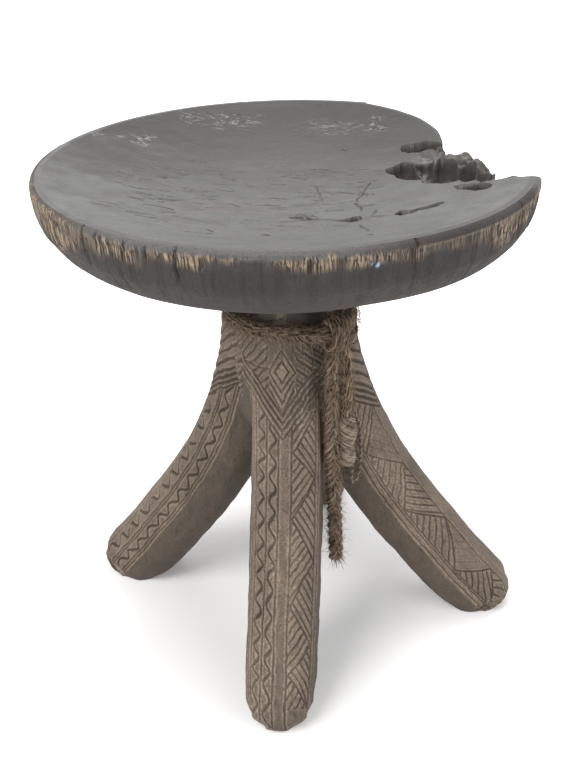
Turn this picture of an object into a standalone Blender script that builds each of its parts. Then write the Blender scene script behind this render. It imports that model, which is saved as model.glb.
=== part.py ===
"""A four legged stool carved from one block of wood, with a fibre cord tied round its neck.

Metres, +Z up. The origin is on the floor under the middle of the seat. The legs stand along +X, -X, +Y and -Y.
"""
import math

import bmesh
import bpy
import numpy as np
from mathutils import Matrix, Vector

# Seat
SEAT_RADIUS = 0.1765
STOOL_HEIGHT = 0.391
DISH_DEPTH = 0.026
LIP_RADIUS = 0.004
SIDE_INSET = 0.047
SIDE_DROP = 0.052
SEAT_LEAN_DEGREES = 1.7
SEAT_STEPS = 52
DISH_POINTS = 6
SIDE_POINTS = 7
SIDE_POWER = 2.5
ARC_POINTS = 3
MERGE_DISTANCE = 0.0001

# Neck, from the underside of the seat down into the joint of the legs
NECK_RADIUS = 0.036
NECK_LENGTH = 0.017
FILLET_RADIUS = 0.030
HUB_RADIUS = 0.047
HUB_DROP = 0.047
CROTCH_HEIGHT_SHARE = 0.587

# Legs, in the order right, rear, left, front
LEG_WIDTH = 0.056
LEG_DEPTH = 0.058
LEG_TOP_DROP = 0.0365
LEG_REACH = 0.150
LEG_AZIMUTHS_DEGREES = (0.0, 90.0, 173.0, 270.0)
LEG_REACH_SHARES = (0.99, 0.94, 1.026, 0.918)
LEG_THICKNESS_SHARES = (1.0, 1.0, 1.06, 0.98)
SECTION_POINTS = 20
SECTION_POWER = 2.5
LEG_RESOLUTION = 3
# Along a leg's centre line: distance out as a share of the reach, height as a share of the top, thickness share
LEG_LINE_SHARES = (
    (0.140, 1.060, 0.97),
    (0.150, 0.940, 1.00),
    (0.238, 0.739, 1.00),
    (0.366, 0.560, 1.02),
    (0.542, 0.392, 1.03),
    (0.745, 0.238, 1.02),
    (0.925, 0.110, 1.01),
    (1.035, 0.050, 0.95),
    (1.095, 0.011, 0.78),
    (1.135, -0.016, 0.42),
)

# Worn edge of the seat: azimuth in degrees and how much of the seat's radius is left there
WORN_EDGE_SHARES = (
    (-12.0, 1.040),
    (-9.4, 1.000),
    (-7.5, 0.940),
    (-2.4, 0.875),
    (3.8, 0.868),
    (12.5, 0.832),
    (19.0, 0.800),
    (24.0, 0.755),
    (27.5, 0.738),
    (32.0, 0.748),
    (36.5, 0.780),
    (45.5, 0.850),
    (55.0, 0.900),
    (65.0, 0.938),
    (78.0, 0.980),
    (90.0, 1.040),
)
WEAR_MARGIN = 0.030
# Rotten hollows: azimuth and direction in degrees, then middle, half length and half width as shares of the seat's
# radius, and the half depth as a share of the rim's thickness
HOLLOW_SHARES = (
    (21.0, -26.0, 0.540, 0.115, 0.088, 0.36),
    (11.0, -26.0, 0.652, 0.125, 0.105, 0.42),
    (3.0, -24.0, 0.784, 0.100, 0.075, 0.36),
    (39.0, -17.0, 0.700, 0.100, 0.060, 0.34),
    (27.0, 20.0, 0.640, 0.055, 0.040, 0.28),
    (-9.8, -40.0, 0.764, 0.048, 0.032, 0.28),
    (-30.4, 0.0, 0.643, 0.071, 0.018, 0.22),
)
HOLLOW_SIDE_STEPS = 12
HOLLOW_RING_STEPS = 8

# Carving on the legs. A place is a share of the way down the leg and a share of the half girth round from its crown,
# positive to the right as seen from outside. Each leg has its own pattern, in the order right, rear, left, front.
CUT_DIAMETER = 0.0036
BAND_DIAMETER = 0.0058
CUT_BEVEL_STEPS = 0
COLUMN_START_SHARE = 0.335
COLUMN_END_SHARE = 0.93
COLUMN_POINTS = 7
WIDE_COLUMN_SHARES = (-0.44, -0.14, 0.155, 0.455)
NARROW_COLUMN_SHARES = (-0.30, -0.135, 0.08, 0.31)
WIDE_ZIGZAG_SHARES = (0.26, 0.35)
NARROW_ZIGZAG_SHARES = (-0.25, -0.185)
WIDE_TRIANGLE_SHARES = (-0.395, -0.185)
NARROW_TRIANGLE_SHARES = (0.12, 0.26)
ZIGZAG_TURNS = 18
TRIANGLE_TURNS = 7
WIDE_BAND_STARTS_SHARES = (0.095, 0.133, 0.171, 0.209, 0.247, 0.285)
NARROW_BAND_STARTS_SHARES = (0.175, 0.205, 0.235, 0.265)
WIDE_BAND_RISE_SHARE = 0.26
NARROW_BAND_RISE_SHARE = 0.38
WIDE_BAND_REACH_SHARE = 0.40
NARROW_BAND_REACH_SHARE = 0.24
BAND_TOP_SHARE = 0.02
BAND_HALF_POINTS = 2
WIDE_LEGS = (True, False, True, False)

# Cord
LOOP_DIAMETER = 0.009
STRAND_DIAMETER = 0.0085
TAIL_DIAMETER = 0.0115
HITCH_DIAMETER = 0.007
FIBRE_DIAMETER = 0.0022
THIN_DIAMETER = 0.0028
CLEARANCE = 0.0003
LOOP_SLACK = 0.0016
LOOP_PULL = 0.0130
LOOP_PULL_POWER = 6
LOOP_POINTS = 30
HITCH_AZIMUTH_DEGREES = -44.0
HITCH_TURNS = 2
HITCH_PITCH = 0.0080
HITCH_SLACK = 0.0018
HITCH_STEPS = 24
BINDING_STEPS = 16
BINDING_PITCH = 0.00275
UPPER_BINDING_TURNS = 9
LOWER_BINDING_TURNS = 5
CORD_STEP = 0.012
THIN_STEP = 0.004
CORD_BEVEL_STEPS = 3
THIN_BEVEL_STEPS = 2
FIBRE_BEVEL_STEPS = 1

# Routes of the hanging cords, as points chosen by hand in metres
TAIL_STRAND_ROUTE = (
    (0.0369, -0.0411, 0.2634),
    (0.0364, -0.0428, 0.2520),
    (0.0361, -0.0446, 0.2360),
    (0.0356, -0.0460, 0.2150),
    (0.0352, -0.0468, 0.1960),
    (0.0352, -0.0471, 0.1800),
)
PLAITED_TAIL_ROUTE = (
    (0.0352, -0.0471, 0.1797),
    (0.0354, -0.0474, 0.1600),
    (0.0356, -0.0475, 0.1400),
    (0.0357, -0.0475, 0.1190),
    (0.0357, -0.0474, 0.0970),
    (0.0356, -0.0472, 0.0740),
)
KNOB_STRAND_ROUTE = (
    (0.0442, -0.0346, 0.2634),
    (0.0456, -0.0352, 0.2500),
    (0.0465, -0.0366, 0.2340),
    (0.0464, -0.0384, 0.2200),
    (0.0458, -0.0396, 0.2066),
)
THIN_LOOP_ROUTE = (
    (0.0515, -0.0362, 0.2085),
    (0.0542, -0.0344, 0.1990),
    (0.0558, -0.0332, 0.1880),
    (0.0563, -0.0328, 0.1760),
    (0.0560, -0.0330, 0.1640),
    (0.0548, -0.0337, 0.1530),
    (0.0528, -0.0349, 0.1450),
    (0.0504, -0.0364, 0.1420),
    (0.0490, -0.0373, 0.1455),
    (0.0492, -0.0372, 0.1520),
    (0.0502, -0.0366, 0.1590),
)

# The bound knob at the end of the second strand
UPPER_LOBE_LENGTH = 0.0270
LOWER_LOBE_LENGTH = 0.0172
UPPER_LOBE_RADIUS = 0.0044
LOWER_LOBE_RADIUS = 0.0031
WAIST_RADIUS = 0.0024
LOBE_END_RADIUS = 0.0028
KNOB_STEPS = 14

WOOD_COLOUR = (0.082, 0.068, 0.055, 1.0)
WOOD_ROUGHNESS = 0.6
CORD_COLOUR = (0.150, 0.110, 0.075, 1.0)
CORD_ROUGHNESS = 0.9

# Heights worked out from the sizes above
UNDERSIDE = STOOL_HEIGHT - SIDE_DROP
NECK_TOP = UNDERSIDE - FILLET_RADIUS
NECK_LOW = NECK_TOP - NECK_LENGTH
LEG_TOP = NECK_TOP - LEG_TOP_DROP
CROTCH_HEIGHT = LEG_TOP * CROTCH_HEIGHT_SHARE
LOOP_HEIGHT = LEG_TOP + LOOP_DIAMETER / 2 + CLEARANCE
KNOB_TOP = KNOB_STRAND_ROUTE[-1][2] - CLEARANCE
KNOB_WAIST = KNOB_TOP - UPPER_LOBE_LENGTH
KNOB_BOTTOM = KNOB_WAIST - LOWER_LOBE_LENGTH


def clear_scene():
    for obj in list(bpy.data.objects):
        bpy.data.objects.remove(obj, do_unlink=True)


def new_collection(name):
    collection = bpy.data.collections.new(name)
    bpy.context.scene.collection.children.link(collection)
    return collection


def new_material(name, colour, roughness):
    material = bpy.data.materials.new(name)
    material.use_nodes = True
    shader = material.node_tree.nodes["Principled BSDF"]
    shader.inputs["Base Color"].default_value = colour
    shader.inputs["Roughness"].default_value = roughness
    shader.inputs["Metallic"].default_value = 0.0
    return material


def add_mesh(name, mesh, collection):
    obj = bpy.data.objects.new(name, mesh)
    collection.objects.link(obj)
    return obj


def make_cutter(obj):
    obj.hide_render = True
    obj.display_type = "WIRE"
    return obj


def polar(radius, degrees, height):
    angle = math.radians(degrees)
    return Vector((radius * math.cos(angle), radius * math.sin(angle), height))


def smooth_route(points, step):
    """Points about one step apart on a smooth curve through the given points."""
    points = [Vector(point) for point in points]
    padded = [2 * points[0] - points[1]] + points + [2 * points[-1] - points[-2]]
    route = []
    for before, start, end, after in zip(padded, padded[1:], padded[2:], padded[3:]):
        pieces = max(1, round((end - start).length / step))
        for index in range(pieces):
            t = index / pieces
            route.append(
                0.5
                * (
                    2 * start
                    + (end - before) * t
                    + (2 * before - 5 * start + 4 * end - after) * t**2
                    + (3 * start - before - 3 * end + after) * t**3
                )
            )
    return route + [points[-1]]


def add_tube(name, route, diameter, collection, bevel_steps, cyclic=False):
    """A round tube along a route, closed at both ends unless it runs into itself."""
    curve = bpy.data.curves.new(name, "CURVE")
    curve.dimensions = "3D"
    curve.bevel_depth = diameter / 2
    curve.bevel_resolution = bevel_steps
    curve.use_fill_caps = not cyclic
    spline = curve.splines.new("POLY")
    spline.points.add(len(route) - 1)
    for point, place in zip(spline.points, route):
        point.co = (*place, 1.0)
    spline.use_cyclic_u = cyclic
    spline.use_smooth = True
    obj = bpy.data.objects.new(name, curve)
    collection.objects.link(obj)
    return obj


def print_least_gap(name, route, diameter, turn_steps):
    """Prints the least gap of a winding to itself, measured between points more than half a turn apart."""
    places = np.array([tuple(place) for place in route])
    apart = np.linalg.norm(places[:, None] - places[None], axis=2)
    index = np.arange(len(places))
    far = np.abs(index[:, None] - index[None]) > turn_steps // 2
    print(f"{name}: least gap to itself {(apart[far].min() - diameter) * 1000:.2f} mm")


def quarter_angles():
    """Angles between a quarter turn and nought, both left out."""
    return [math.pi / 2 * (1 - index / ARC_POINTS) for index in range(1, ARC_POINTS)]


def seat_profile():
    """Half section of the seat and neck, from the middle of the dish over the rim and down to the crotch."""
    lip_centre = SEAT_RADIUS - LIP_RADIUS
    dish_edge = lip_centre - LIP_RADIUS
    profile = []
    for index in range(DISH_POINTS + 1):
        share = index / DISH_POINTS
        profile.append((dish_edge * share, STOOL_HEIGHT - DISH_DEPTH * (1 - share**2)))
    for angle in quarter_angles():
        height = STOOL_HEIGHT - LIP_RADIUS * (1 - math.sin(angle))
        profile.append((lip_centre + LIP_RADIUS * math.cos(angle), height))
    for index in range(SIDE_POINTS + 1):
        angle = math.pi / 2 * index / SIDE_POINTS
        inward = 1 - math.cos(angle) ** (2 / SIDE_POWER)
        drop = LIP_RADIUS + (SIDE_DROP - LIP_RADIUS) * math.sin(angle) ** (2 / SIDE_POWER)
        profile.append((SEAT_RADIUS - SIDE_INSET * inward, STOOL_HEIGHT - drop))
    for angle in [math.pi / 2] + quarter_angles() + [0.0]:
        radius = NECK_RADIUS + FILLET_RADIUS * (1 - math.cos(angle))
        profile.append((radius, NECK_TOP + FILLET_RADIUS * math.sin(angle)))
    profile.append((NECK_RADIUS, NECK_LOW))
    profile.append((HUB_RADIUS, NECK_LOW - HUB_DROP))
    for angle in [math.pi / 2] + quarter_angles():
        radius = HUB_RADIUS * math.sin(angle)
        profile.append((radius, CROTCH_HEIGHT + HUB_RADIUS * (1 - math.cos(angle))))
    profile.append((0.0, CROTCH_HEIGHT))
    return profile


def add_seat(name, collection):
    profile = seat_profile()
    mesh = bpy.data.meshes.new(name)
    bm = bmesh.new()
    points = [bm.verts.new((radius, 0.0, height - NECK_LOW)) for radius, height in profile]
    for start, end in zip(points, points[1:]):
        bm.edges.new((start, end))
    bm.to_mesh(mesh)
    bm.free()
    seat = add_mesh(name, mesh, collection)
    seat.location.z = NECK_LOW
    seat.rotation_euler.y = math.radians(SEAT_LEAN_DEGREES)
    screw = seat.modifiers.new("Turn", "SCREW")
    screw.steps = SEAT_STEPS
    screw.render_steps = SEAT_STEPS
    screw.use_merge_vertices = True
    screw.merge_threshold = MERGE_DISTANCE
    screw.use_smooth_shade = True
    return seat


def leg_section(collection):
    """The rounded section of a leg as a closed flat curve: broad and crowned outside, softly square inside."""
    curve = bpy.data.curves.new("leg_section", "CURVE")
    curve.dimensions = "2D"
    spline = curve.splines.new("POLY")
    spline.points.add(SECTION_POINTS - 1)
    for index, point in enumerate(spline.points):
        angle = 2 * math.pi * index / SECTION_POINTS
        across, along = math.cos(angle), math.sin(angle)
        size = (abs(across) ** SECTION_POWER + abs(along) ** SECTION_POWER) ** (-1 / SECTION_POWER)
        point.co = (LEG_WIDTH / 2 * across * size, LEG_DEPTH / 2 * along * size, 0.0, 1.0)
    spline.use_cyclic_u = True
    section = bpy.data.objects.new("leg_section", curve)
    collection.objects.link(section)
    return make_cutter(section)


def add_leg(name, degrees, reach_share, thickness_share, section, collection):
    """One leg as a mesh, the section swept along its curved line with a level top, and its rings of points."""
    curve = bpy.data.curves.new(name, "CURVE")
    curve.dimensions = "3D"
    curve.twist_mode = "Z_UP"
    curve.resolution_u = LEG_RESOLUTION
    curve.bevel_mode = "OBJECT"
    curve.bevel_object = section
    curve.use_fill_caps = True
    spline = curve.splines.new("BEZIER")
    spline.bezier_points.add(len(LEG_LINE_SHARES) - 1)
    for point, (reach, height, thickness) in zip(spline.bezier_points, LEG_LINE_SHARES):
        point.co = polar(LEG_REACH * reach_share * reach, degrees, LEG_TOP * height)
        point.radius = thickness * thickness_share
        point.handle_left_type = "AUTO"
        point.handle_right_type = "AUTO"
    guide = bpy.data.objects.new(name + "_guide", curve)
    collection.objects.link(guide)
    bpy.context.view_layer.update()
    mesh = bpy.data.meshes.new_from_object(guide.evaluated_get(bpy.context.evaluated_depsgraph_get()))
    places = np.array([tuple(vert.co) for vert in mesh.vertices])
    rings = places[: len(places) // SECTION_POINTS * SECTION_POINTS].reshape(-1, SECTION_POINTS, 3)
    rings = rings[np.argsort(-rings[:, 0, 2])]
    bm = bmesh.new()
    bm.from_mesh(mesh)
    bmesh.ops.remove_doubles(bm, verts=bm.verts, dist=MERGE_DISTANCE)
    whole = bm.verts[:] + bm.edges[:] + bm.faces[:]
    top = (0.0, 0.0, LEG_TOP)
    cut = bmesh.ops.bisect_plane(bm, geom=whole, plane_co=top, plane_no=(0.0, 0.0, 1.0), clear_outer=True)
    rim = [item for item in cut["geom_cut"] if isinstance(item, bmesh.types.BMEdge)]
    bmesh.ops.edgeloop_fill(bm, edges=rim)
    bmesh.ops.recalc_face_normals(bm, faces=bm.faces)
    bm.to_mesh(mesh)
    bm.free()
    leg = add_mesh(name, mesh, collection)
    leg.matrix_world = guide.matrix_world
    bpy.data.objects.remove(guide, do_unlink=True)
    return make_cutter(leg), rings


def skin_place(rings, down, around):
    """A place on a leg's skin: a share of the way down from its top and a share of the half girth from its crown."""
    crown = rings[:, SECTION_POINTS // 4]
    steps = np.linalg.norm(np.diff(crown, axis=0), axis=1)
    length = np.concatenate([[0.0], np.cumsum(steps)])
    top = np.interp(-LEG_TOP, -crown[:, 2], length)
    ring = np.interp(top + (length[-1] - top) * down, length, np.arange(len(length)))
    column = (SECTION_POINTS / 4 + around * SECTION_POINTS / 2) % SECTION_POINTS
    low, left = int(min(ring, len(rings) - 2)), int(column)
    rise, turn = ring - low, column - left
    right = (left + 1) % SECTION_POINTS
    upper = rings[low, left] * (1 - turn) + rings[low, right] * turn
    lower = rings[low + 1, left] * (1 - turn) + rings[low + 1, right] * turn
    return Vector(upper * (1 - rise) + lower * rise)


def zigzag(left, right, turns):
    """Corners of a zigzag down the carved part of a leg, between two shares of the girth."""
    step = (COLUMN_END_SHARE - COLUMN_START_SHARE) / turns
    return [(COLUMN_START_SHARE + step * index, (left, right)[index % 2]) for index in range(turns + 1)]


def carving_routes(wide):
    """The cuts of one leg as routes of places on its skin, each with its diameter."""
    columns = WIDE_COLUMN_SHARES if wide else NARROW_COLUMN_SHARES
    edges = WIDE_ZIGZAG_SHARES if wide else NARROW_ZIGZAG_SHARES
    triangles = WIDE_TRIANGLE_SHARES if wide else NARROW_TRIANGLE_SHARES
    starts = WIDE_BAND_STARTS_SHARES if wide else NARROW_BAND_STARTS_SHARES
    rise = WIDE_BAND_RISE_SHARE if wide else NARROW_BAND_RISE_SHARE
    reach = WIDE_BAND_REACH_SHARE if wide else NARROW_BAND_REACH_SHARE
    routes = []
    for around in columns:
        step = (COLUMN_END_SHARE - COLUMN_START_SHARE) / (COLUMN_POINTS - 1)
        routes.append(([(COLUMN_START_SHARE + step * index, around) for index in range(COLUMN_POINTS)], CUT_DIAMETER))
    routes.append((zigzag(*edges, ZIGZAG_TURNS), CUT_DIAMETER))
    routes.append((zigzag(*triangles, TRIANGLE_TURNS), CUT_DIAMETER))
    for start in starts:
        band = []
        for index in range(-BAND_HALF_POINTS, BAND_HALF_POINTS + 1):
            around = reach * index / BAND_HALF_POINTS
            band.append((start - rise * abs(around), around))
        band = [place for place in band if place[0] > BAND_TOP_SHARE]
        routes.append((band, BAND_DIAMETER if wide else CUT_DIAMETER))
    return routes


def add_carving(name, rings, wide, collection):
    """All the cuts of one leg as one mesh of thin square rods that lie half in its skin."""
    bm = bmesh.new()
    for places, diameter in carving_routes(wide):
        route = [skin_place(rings, down, around) for down, around in places]
        rod = add_tube(name + "_rod", route, diameter, collection, CUT_BEVEL_STEPS)
        bpy.context.view_layer.update()
        mesh = bpy.data.meshes.new_from_object(rod.evaluated_get(bpy.context.evaluated_depsgraph_get()))
        bm.from_mesh(mesh)
        bpy.data.objects.remove(rod, do_unlink=True)
        bpy.data.meshes.remove(mesh)
    bmesh.ops.remove_doubles(bm, verts=bm.verts, dist=MERGE_DISTANCE)
    bmesh.ops.recalc_face_normals(bm, faces=bm.faces)
    mesh = bpy.data.meshes.new(name)
    bm.to_mesh(mesh)
    bm.free()
    return make_cutter(add_mesh(name, mesh, collection))


def add_worn_edge(name, collection):
    """Everything outside the worn outline of the seat, as a flat plate that is cut away."""
    curve = bpy.data.curves.new(name, "CURVE")
    curve.dimensions = "2D"
    curve.fill_mode = "BOTH"
    curve.extrude = SIDE_DROP + LIP_RADIUS
    outline = [polar(SEAT_RADIUS * share, degrees, 0.0) for degrees, share in WORN_EDGE_SHARES]
    outer = [
        polar(SEAT_RADIUS + WEAR_MARGIN, degrees, 0.0) for degrees, _ in reversed(WORN_EDGE_SHARES)
    ]
    spline = curve.splines.new("POLY")
    spline.points.add(len(outline) + len(outer) - 1)
    for point, place in zip(spline.points, outline + outer):
        point.co = (*place, 1.0)
    spline.use_cyclic_u = True
    guide = bpy.data.objects.new(name + "_guide", curve)
    guide.location.z = STOOL_HEIGHT
    collection.objects.link(guide)
    bpy.context.view_layer.update()
    mesh = bpy.data.meshes.new_from_object(guide.evaluated_get(bpy.context.evaluated_depsgraph_get()))
    bm = bmesh.new()
    bm.from_mesh(mesh)
    bmesh.ops.remove_doubles(bm, verts=bm.verts, dist=MERGE_DISTANCE)
    bmesh.ops.recalc_face_normals(bm, faces=bm.faces)
    bm.to_mesh(mesh)
    bm.free()
    plate = add_mesh(name, mesh, collection)
    plate.matrix_world = guide.matrix_world
    bpy.data.objects.remove(guide, do_unlink=True)
    return make_cutter(plate)


def add_hollow(name, shares, collection):
    """One rotten hollow: a stretched ball that lies in the surface of the dish."""
    degrees, direction, middle, half_length, half_width, half_depth = shares
    surface = STOOL_HEIGHT - DISH_DEPTH * (1 - middle**2)
    sizes = (SEAT_RADIUS * half_length, SEAT_RADIUS * half_width, SIDE_DROP * half_depth)
    place = Matrix.Translation(polar(SEAT_RADIUS * middle, degrees, surface))
    turn = Matrix.Rotation(math.radians(direction), 4, "Z")
    matrix = place @ turn @ Matrix.Diagonal((*sizes, 1))
    bm = bmesh.new()
    bmesh.ops.create_uvsphere(bm, u_segments=HOLLOW_SIDE_STEPS, v_segments=HOLLOW_RING_STEPS, radius=1, matrix=matrix)
    mesh = bpy.data.meshes.new(name)
    bm.to_mesh(mesh)
    bm.free()
    return make_cutter(add_mesh(name, mesh, collection))


def add_floor_block(name, collection):
    """The space under the floor, which cuts the four feet level."""
    reach = LEG_REACH + LEG_DEPTH
    bm = bmesh.new()
    scale = Matrix.Diagonal((2 * reach, 2 * reach, LEG_DEPTH, 1))
    bmesh.ops.create_cube(bm, size=1, matrix=Matrix.Translation((0, 0, -LEG_DEPTH / 2)) @ scale)
    mesh = bpy.data.meshes.new(name)
    bm.to_mesh(mesh)
    bm.free()
    return make_cutter(add_mesh(name, mesh, collection))


def add_boolean(target, other, operation):
    boolean = target.modifiers.new(other.name, "BOOLEAN")
    boolean.object = other
    boolean.operation = operation
    boolean.solver = "EXACT"


def build_wood(parts, cutters, material):
    stool = add_seat("carved_stool", parts)
    stool.data.materials.append(material)
    section = leg_section(cutters)
    legs = zip(LEG_AZIMUTHS_DEGREES, LEG_REACH_SHARES, LEG_THICKNESS_SHARES, WIDE_LEGS)
    for index, (degrees, reach, thickness, wide) in enumerate(legs):
        leg, rings = add_leg(f"leg_{index + 1}", degrees, reach, thickness, section, cutters)
        add_boolean(leg, add_carving(f"leg_carving_{index + 1}", rings, wide, cutters), "DIFFERENCE")
        add_boolean(stool, leg, "UNION")
    add_boolean(stool, add_floor_block("floor", cutters), "DIFFERENCE")
    add_boolean(stool, add_worn_edge("worn_edge", cutters), "DIFFERENCE")
    for index, shares in enumerate(HOLLOW_SHARES):
        add_boolean(stool, add_hollow(f"hollow_{index + 1}", shares, cutters), "DIFFERENCE")
    return stool


def loop_place(degrees):
    """Centre of the ring of cord, which lies on the legs round the neck and is pulled outwards at the hitch."""
    fall = (NECK_LOW - LOOP_HEIGHT) / HUB_DROP
    radius = NECK_RADIUS + (HUB_RADIUS - NECK_RADIUS) * fall + LOOP_DIAMETER / 2 + LOOP_SLACK
    apart = math.radians(degrees - HITCH_AZIMUTH_DEGREES)
    pull = LOOP_PULL * max(0.0, math.cos(apart)) ** LOOP_PULL_POWER
    return polar(radius + pull, degrees, LOOP_HEIGHT)


def build_loop(parts, material):
    route = [loop_place(360 * index / LOOP_POINTS) for index in range(LOOP_POINTS)]
    loop = add_tube("neck_loop", route, LOOP_DIAMETER, parts, CORD_BEVEL_STEPS, cyclic=True)
    loop.data.materials.append(material)


def hitch_radius():
    return (LOOP_DIAMETER + HITCH_DIAMETER) / 2 + HITCH_SLACK


def build_hitch(parts, material):
    """Two turns of cord round the ring, where the hanging strands leave it."""
    middle = loop_place(HITCH_AZIMUTH_DEGREES)
    outward = Vector((middle.x, middle.y, 0.0)).normalized()
    along = Vector((0.0, 0.0, 1.0)).cross(outward)
    upward = Vector((0.0, 0.0, 1.0))
    count = HITCH_TURNS * HITCH_STEPS
    route = []
    for index in range(count + 1):
        turns = index / HITCH_STEPS
        angle = 2 * math.pi * turns - math.pi / 2
        shift = HITCH_PITCH * (turns - HITCH_TURNS / 2)
        spoke = outward * math.cos(angle) + upward * math.sin(angle)
        route.append(middle + along * shift + spoke * hitch_radius())
    print_least_gap("hitch", route, HITCH_DIAMETER, HITCH_STEPS)
    hitch = add_tube("hitch", route, HITCH_DIAMETER, parts, THIN_BEVEL_STEPS)
    hitch.data.materials.append(material)


def knob_radius(height):
    """Radius of the bound end of the strand: two lobes with a waist between them."""
    if height > KNOB_WAIST:
        share = (height - KNOB_WAIST) / (KNOB_TOP - KNOB_WAIST)
        ends = WAIST_RADIUS + (LOBE_END_RADIUS - WAIST_RADIUS) * share
        return ends + (UPPER_LOBE_RADIUS - ends) * math.sin(math.pi * share)
    share = (KNOB_WAIST - height) / (KNOB_WAIST - KNOB_BOTTOM)
    ends = WAIST_RADIUS + (LOBE_END_RADIUS - WAIST_RADIUS) * share
    return ends + (LOWER_LOBE_RADIUS - ends) * math.sin(math.pi * share)


def knob_axis():
    x, y, _ = KNOB_STRAND_ROUTE[-1]
    return Vector((x, y, 0.0))


def build_knob(parts, material):
    """The bound end: a turned core and two bindings wound round it."""
    mesh = bpy.data.meshes.new("knob_core")
    bm = bmesh.new()
    step = (KNOB_BOTTOM - KNOB_TOP) / KNOB_STEPS
    heights = [KNOB_TOP + step * index for index in range(KNOB_STEPS + 1)]
    profile = [(0.0, KNOB_TOP)] + [(knob_radius(height), height) for height in heights] + [(0.0, KNOB_BOTTOM)]
    points = [bm.verts.new((radius, 0.0, height)) for radius, height in profile]
    for start, end in zip(points, points[1:]):
        bm.edges.new((start, end))
    bm.to_mesh(mesh)
    bm.free()
    core = add_mesh("knob_core", mesh, parts)
    core.location = knob_axis()
    core.data.materials.append(material)
    screw = core.modifiers.new("Turn", "SCREW")
    screw.steps = BINDING_STEPS
    screw.render_steps = BINDING_STEPS
    screw.use_merge_vertices = True
    screw.merge_threshold = MERGE_DISTANCE
    screw.use_smooth_shade = True
    for name, top, turns in (
        ("upper_whipping", KNOB_TOP, UPPER_BINDING_TURNS),
        ("lower_whipping", KNOB_WAIST, LOWER_BINDING_TURNS),
    ):
        start = top - FIBRE_DIAMETER / 2 - CLEARANCE
        route = []
        for index in range(turns * BINDING_STEPS + 1):
            turn = index / BINDING_STEPS
            height = start - BINDING_PITCH * turn
            spoke = polar(knob_radius(height) + FIBRE_DIAMETER / 2 + 2 * CLEARANCE, 360 * turn, height)
            route.append(knob_axis() + spoke)
        print_least_gap(name, route, FIBRE_DIAMETER, BINDING_STEPS)
        binding = add_tube(name, route, FIBRE_DIAMETER, parts, FIBRE_BEVEL_STEPS)
        binding.data.materials.append(material)


def build_hanging_cords(parts, material):
    for name, points, diameter in (
        ("tail_strand", TAIL_STRAND_ROUTE, STRAND_DIAMETER),
        ("plaited_tail", PLAITED_TAIL_ROUTE, TAIL_DIAMETER),
        ("knob_strand", KNOB_STRAND_ROUTE, STRAND_DIAMETER),
    ):
        tube = add_tube(name, smooth_route(points, CORD_STEP), diameter, parts, CORD_BEVEL_STEPS)
        tube.data.materials.append(material)
    route = smooth_route(THIN_LOOP_ROUTE, THIN_STEP)
    thin = add_tube("thin_loop", route, THIN_DIAMETER, parts, THIN_BEVEL_STEPS)
    thin.data.materials.append(material)


def main():
    clear_scene()
    parts = new_collection("carved stool with cord")
    cutters = new_collection("cutters")
    cutters.hide_render = True
    wood = new_material("dark carved wood", WOOD_COLOUR, WOOD_ROUGHNESS)
    fibre = new_material("plaited fibre", CORD_COLOUR, CORD_ROUGHNESS)
    build_wood(parts, cutters, wood)
    build_loop(parts, fibre)
    build_hitch(parts, fibre)
    build_hanging_cords(parts, fibre)
    build_knob(parts, fibre)


main()
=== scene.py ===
import math

import bmesh
import bpy
import numpy as np
from mathutils import Matrix, Vector


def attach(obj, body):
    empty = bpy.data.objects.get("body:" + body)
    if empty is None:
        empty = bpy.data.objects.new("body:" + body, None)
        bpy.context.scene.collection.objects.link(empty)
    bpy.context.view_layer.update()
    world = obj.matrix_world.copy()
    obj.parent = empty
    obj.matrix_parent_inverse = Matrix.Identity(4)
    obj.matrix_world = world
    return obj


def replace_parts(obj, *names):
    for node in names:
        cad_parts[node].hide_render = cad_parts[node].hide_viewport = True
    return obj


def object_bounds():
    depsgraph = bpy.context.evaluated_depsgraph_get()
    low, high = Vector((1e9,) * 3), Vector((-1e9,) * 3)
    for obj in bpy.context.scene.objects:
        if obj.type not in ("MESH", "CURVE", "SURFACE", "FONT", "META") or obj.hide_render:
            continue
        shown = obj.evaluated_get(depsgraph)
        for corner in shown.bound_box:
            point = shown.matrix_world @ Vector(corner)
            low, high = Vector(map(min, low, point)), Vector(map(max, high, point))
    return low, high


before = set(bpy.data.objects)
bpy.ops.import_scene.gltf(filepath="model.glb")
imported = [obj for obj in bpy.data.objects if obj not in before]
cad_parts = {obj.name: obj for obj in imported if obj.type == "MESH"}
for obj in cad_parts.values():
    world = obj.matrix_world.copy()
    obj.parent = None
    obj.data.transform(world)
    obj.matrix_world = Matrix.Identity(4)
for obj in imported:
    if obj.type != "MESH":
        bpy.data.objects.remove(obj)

CAD_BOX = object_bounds()
BOX_LOW = np.minimum(*CAD_BOX)
BOX_HIGH = np.maximum(*CAD_BOX)

# sizes shared with the solid model, in metres
SEAT_RADIUS = 0.1765
STOOL_HEIGHT = 0.391
DISH_DEPTH = 0.026
LIP_RADIUS = 0.004
SIDE_INSET = 0.047
SIDE_DROP = 0.052
NECK_RADIUS = 0.036
NECK_LENGTH = 0.017
FILLET_RADIUS = 0.030
HUB_RADIUS = 0.047
HUB_DROP = 0.047
LEG_WIDTH = 0.056
LEG_DEPTH = 0.058
LEG_TOP_DROP = 0.0365
LEG_REACH = 0.150
LOOP_DIAMETER = 0.009
CLEARANCE = 0.0003
LOOP_SLACK = 0.0016
LOOP_PULL = 0.0130
# shares, powers of rounded sections and angles of the solid model
CROTCH_HEIGHT_SHARE = 0.587
SIDE_POWER = 2.5
SECTION_POWER = 2.5
SEAT_LEAN = math.radians(1.7)
HITCH_AZIMUTH = math.radians(-44.0)

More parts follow.
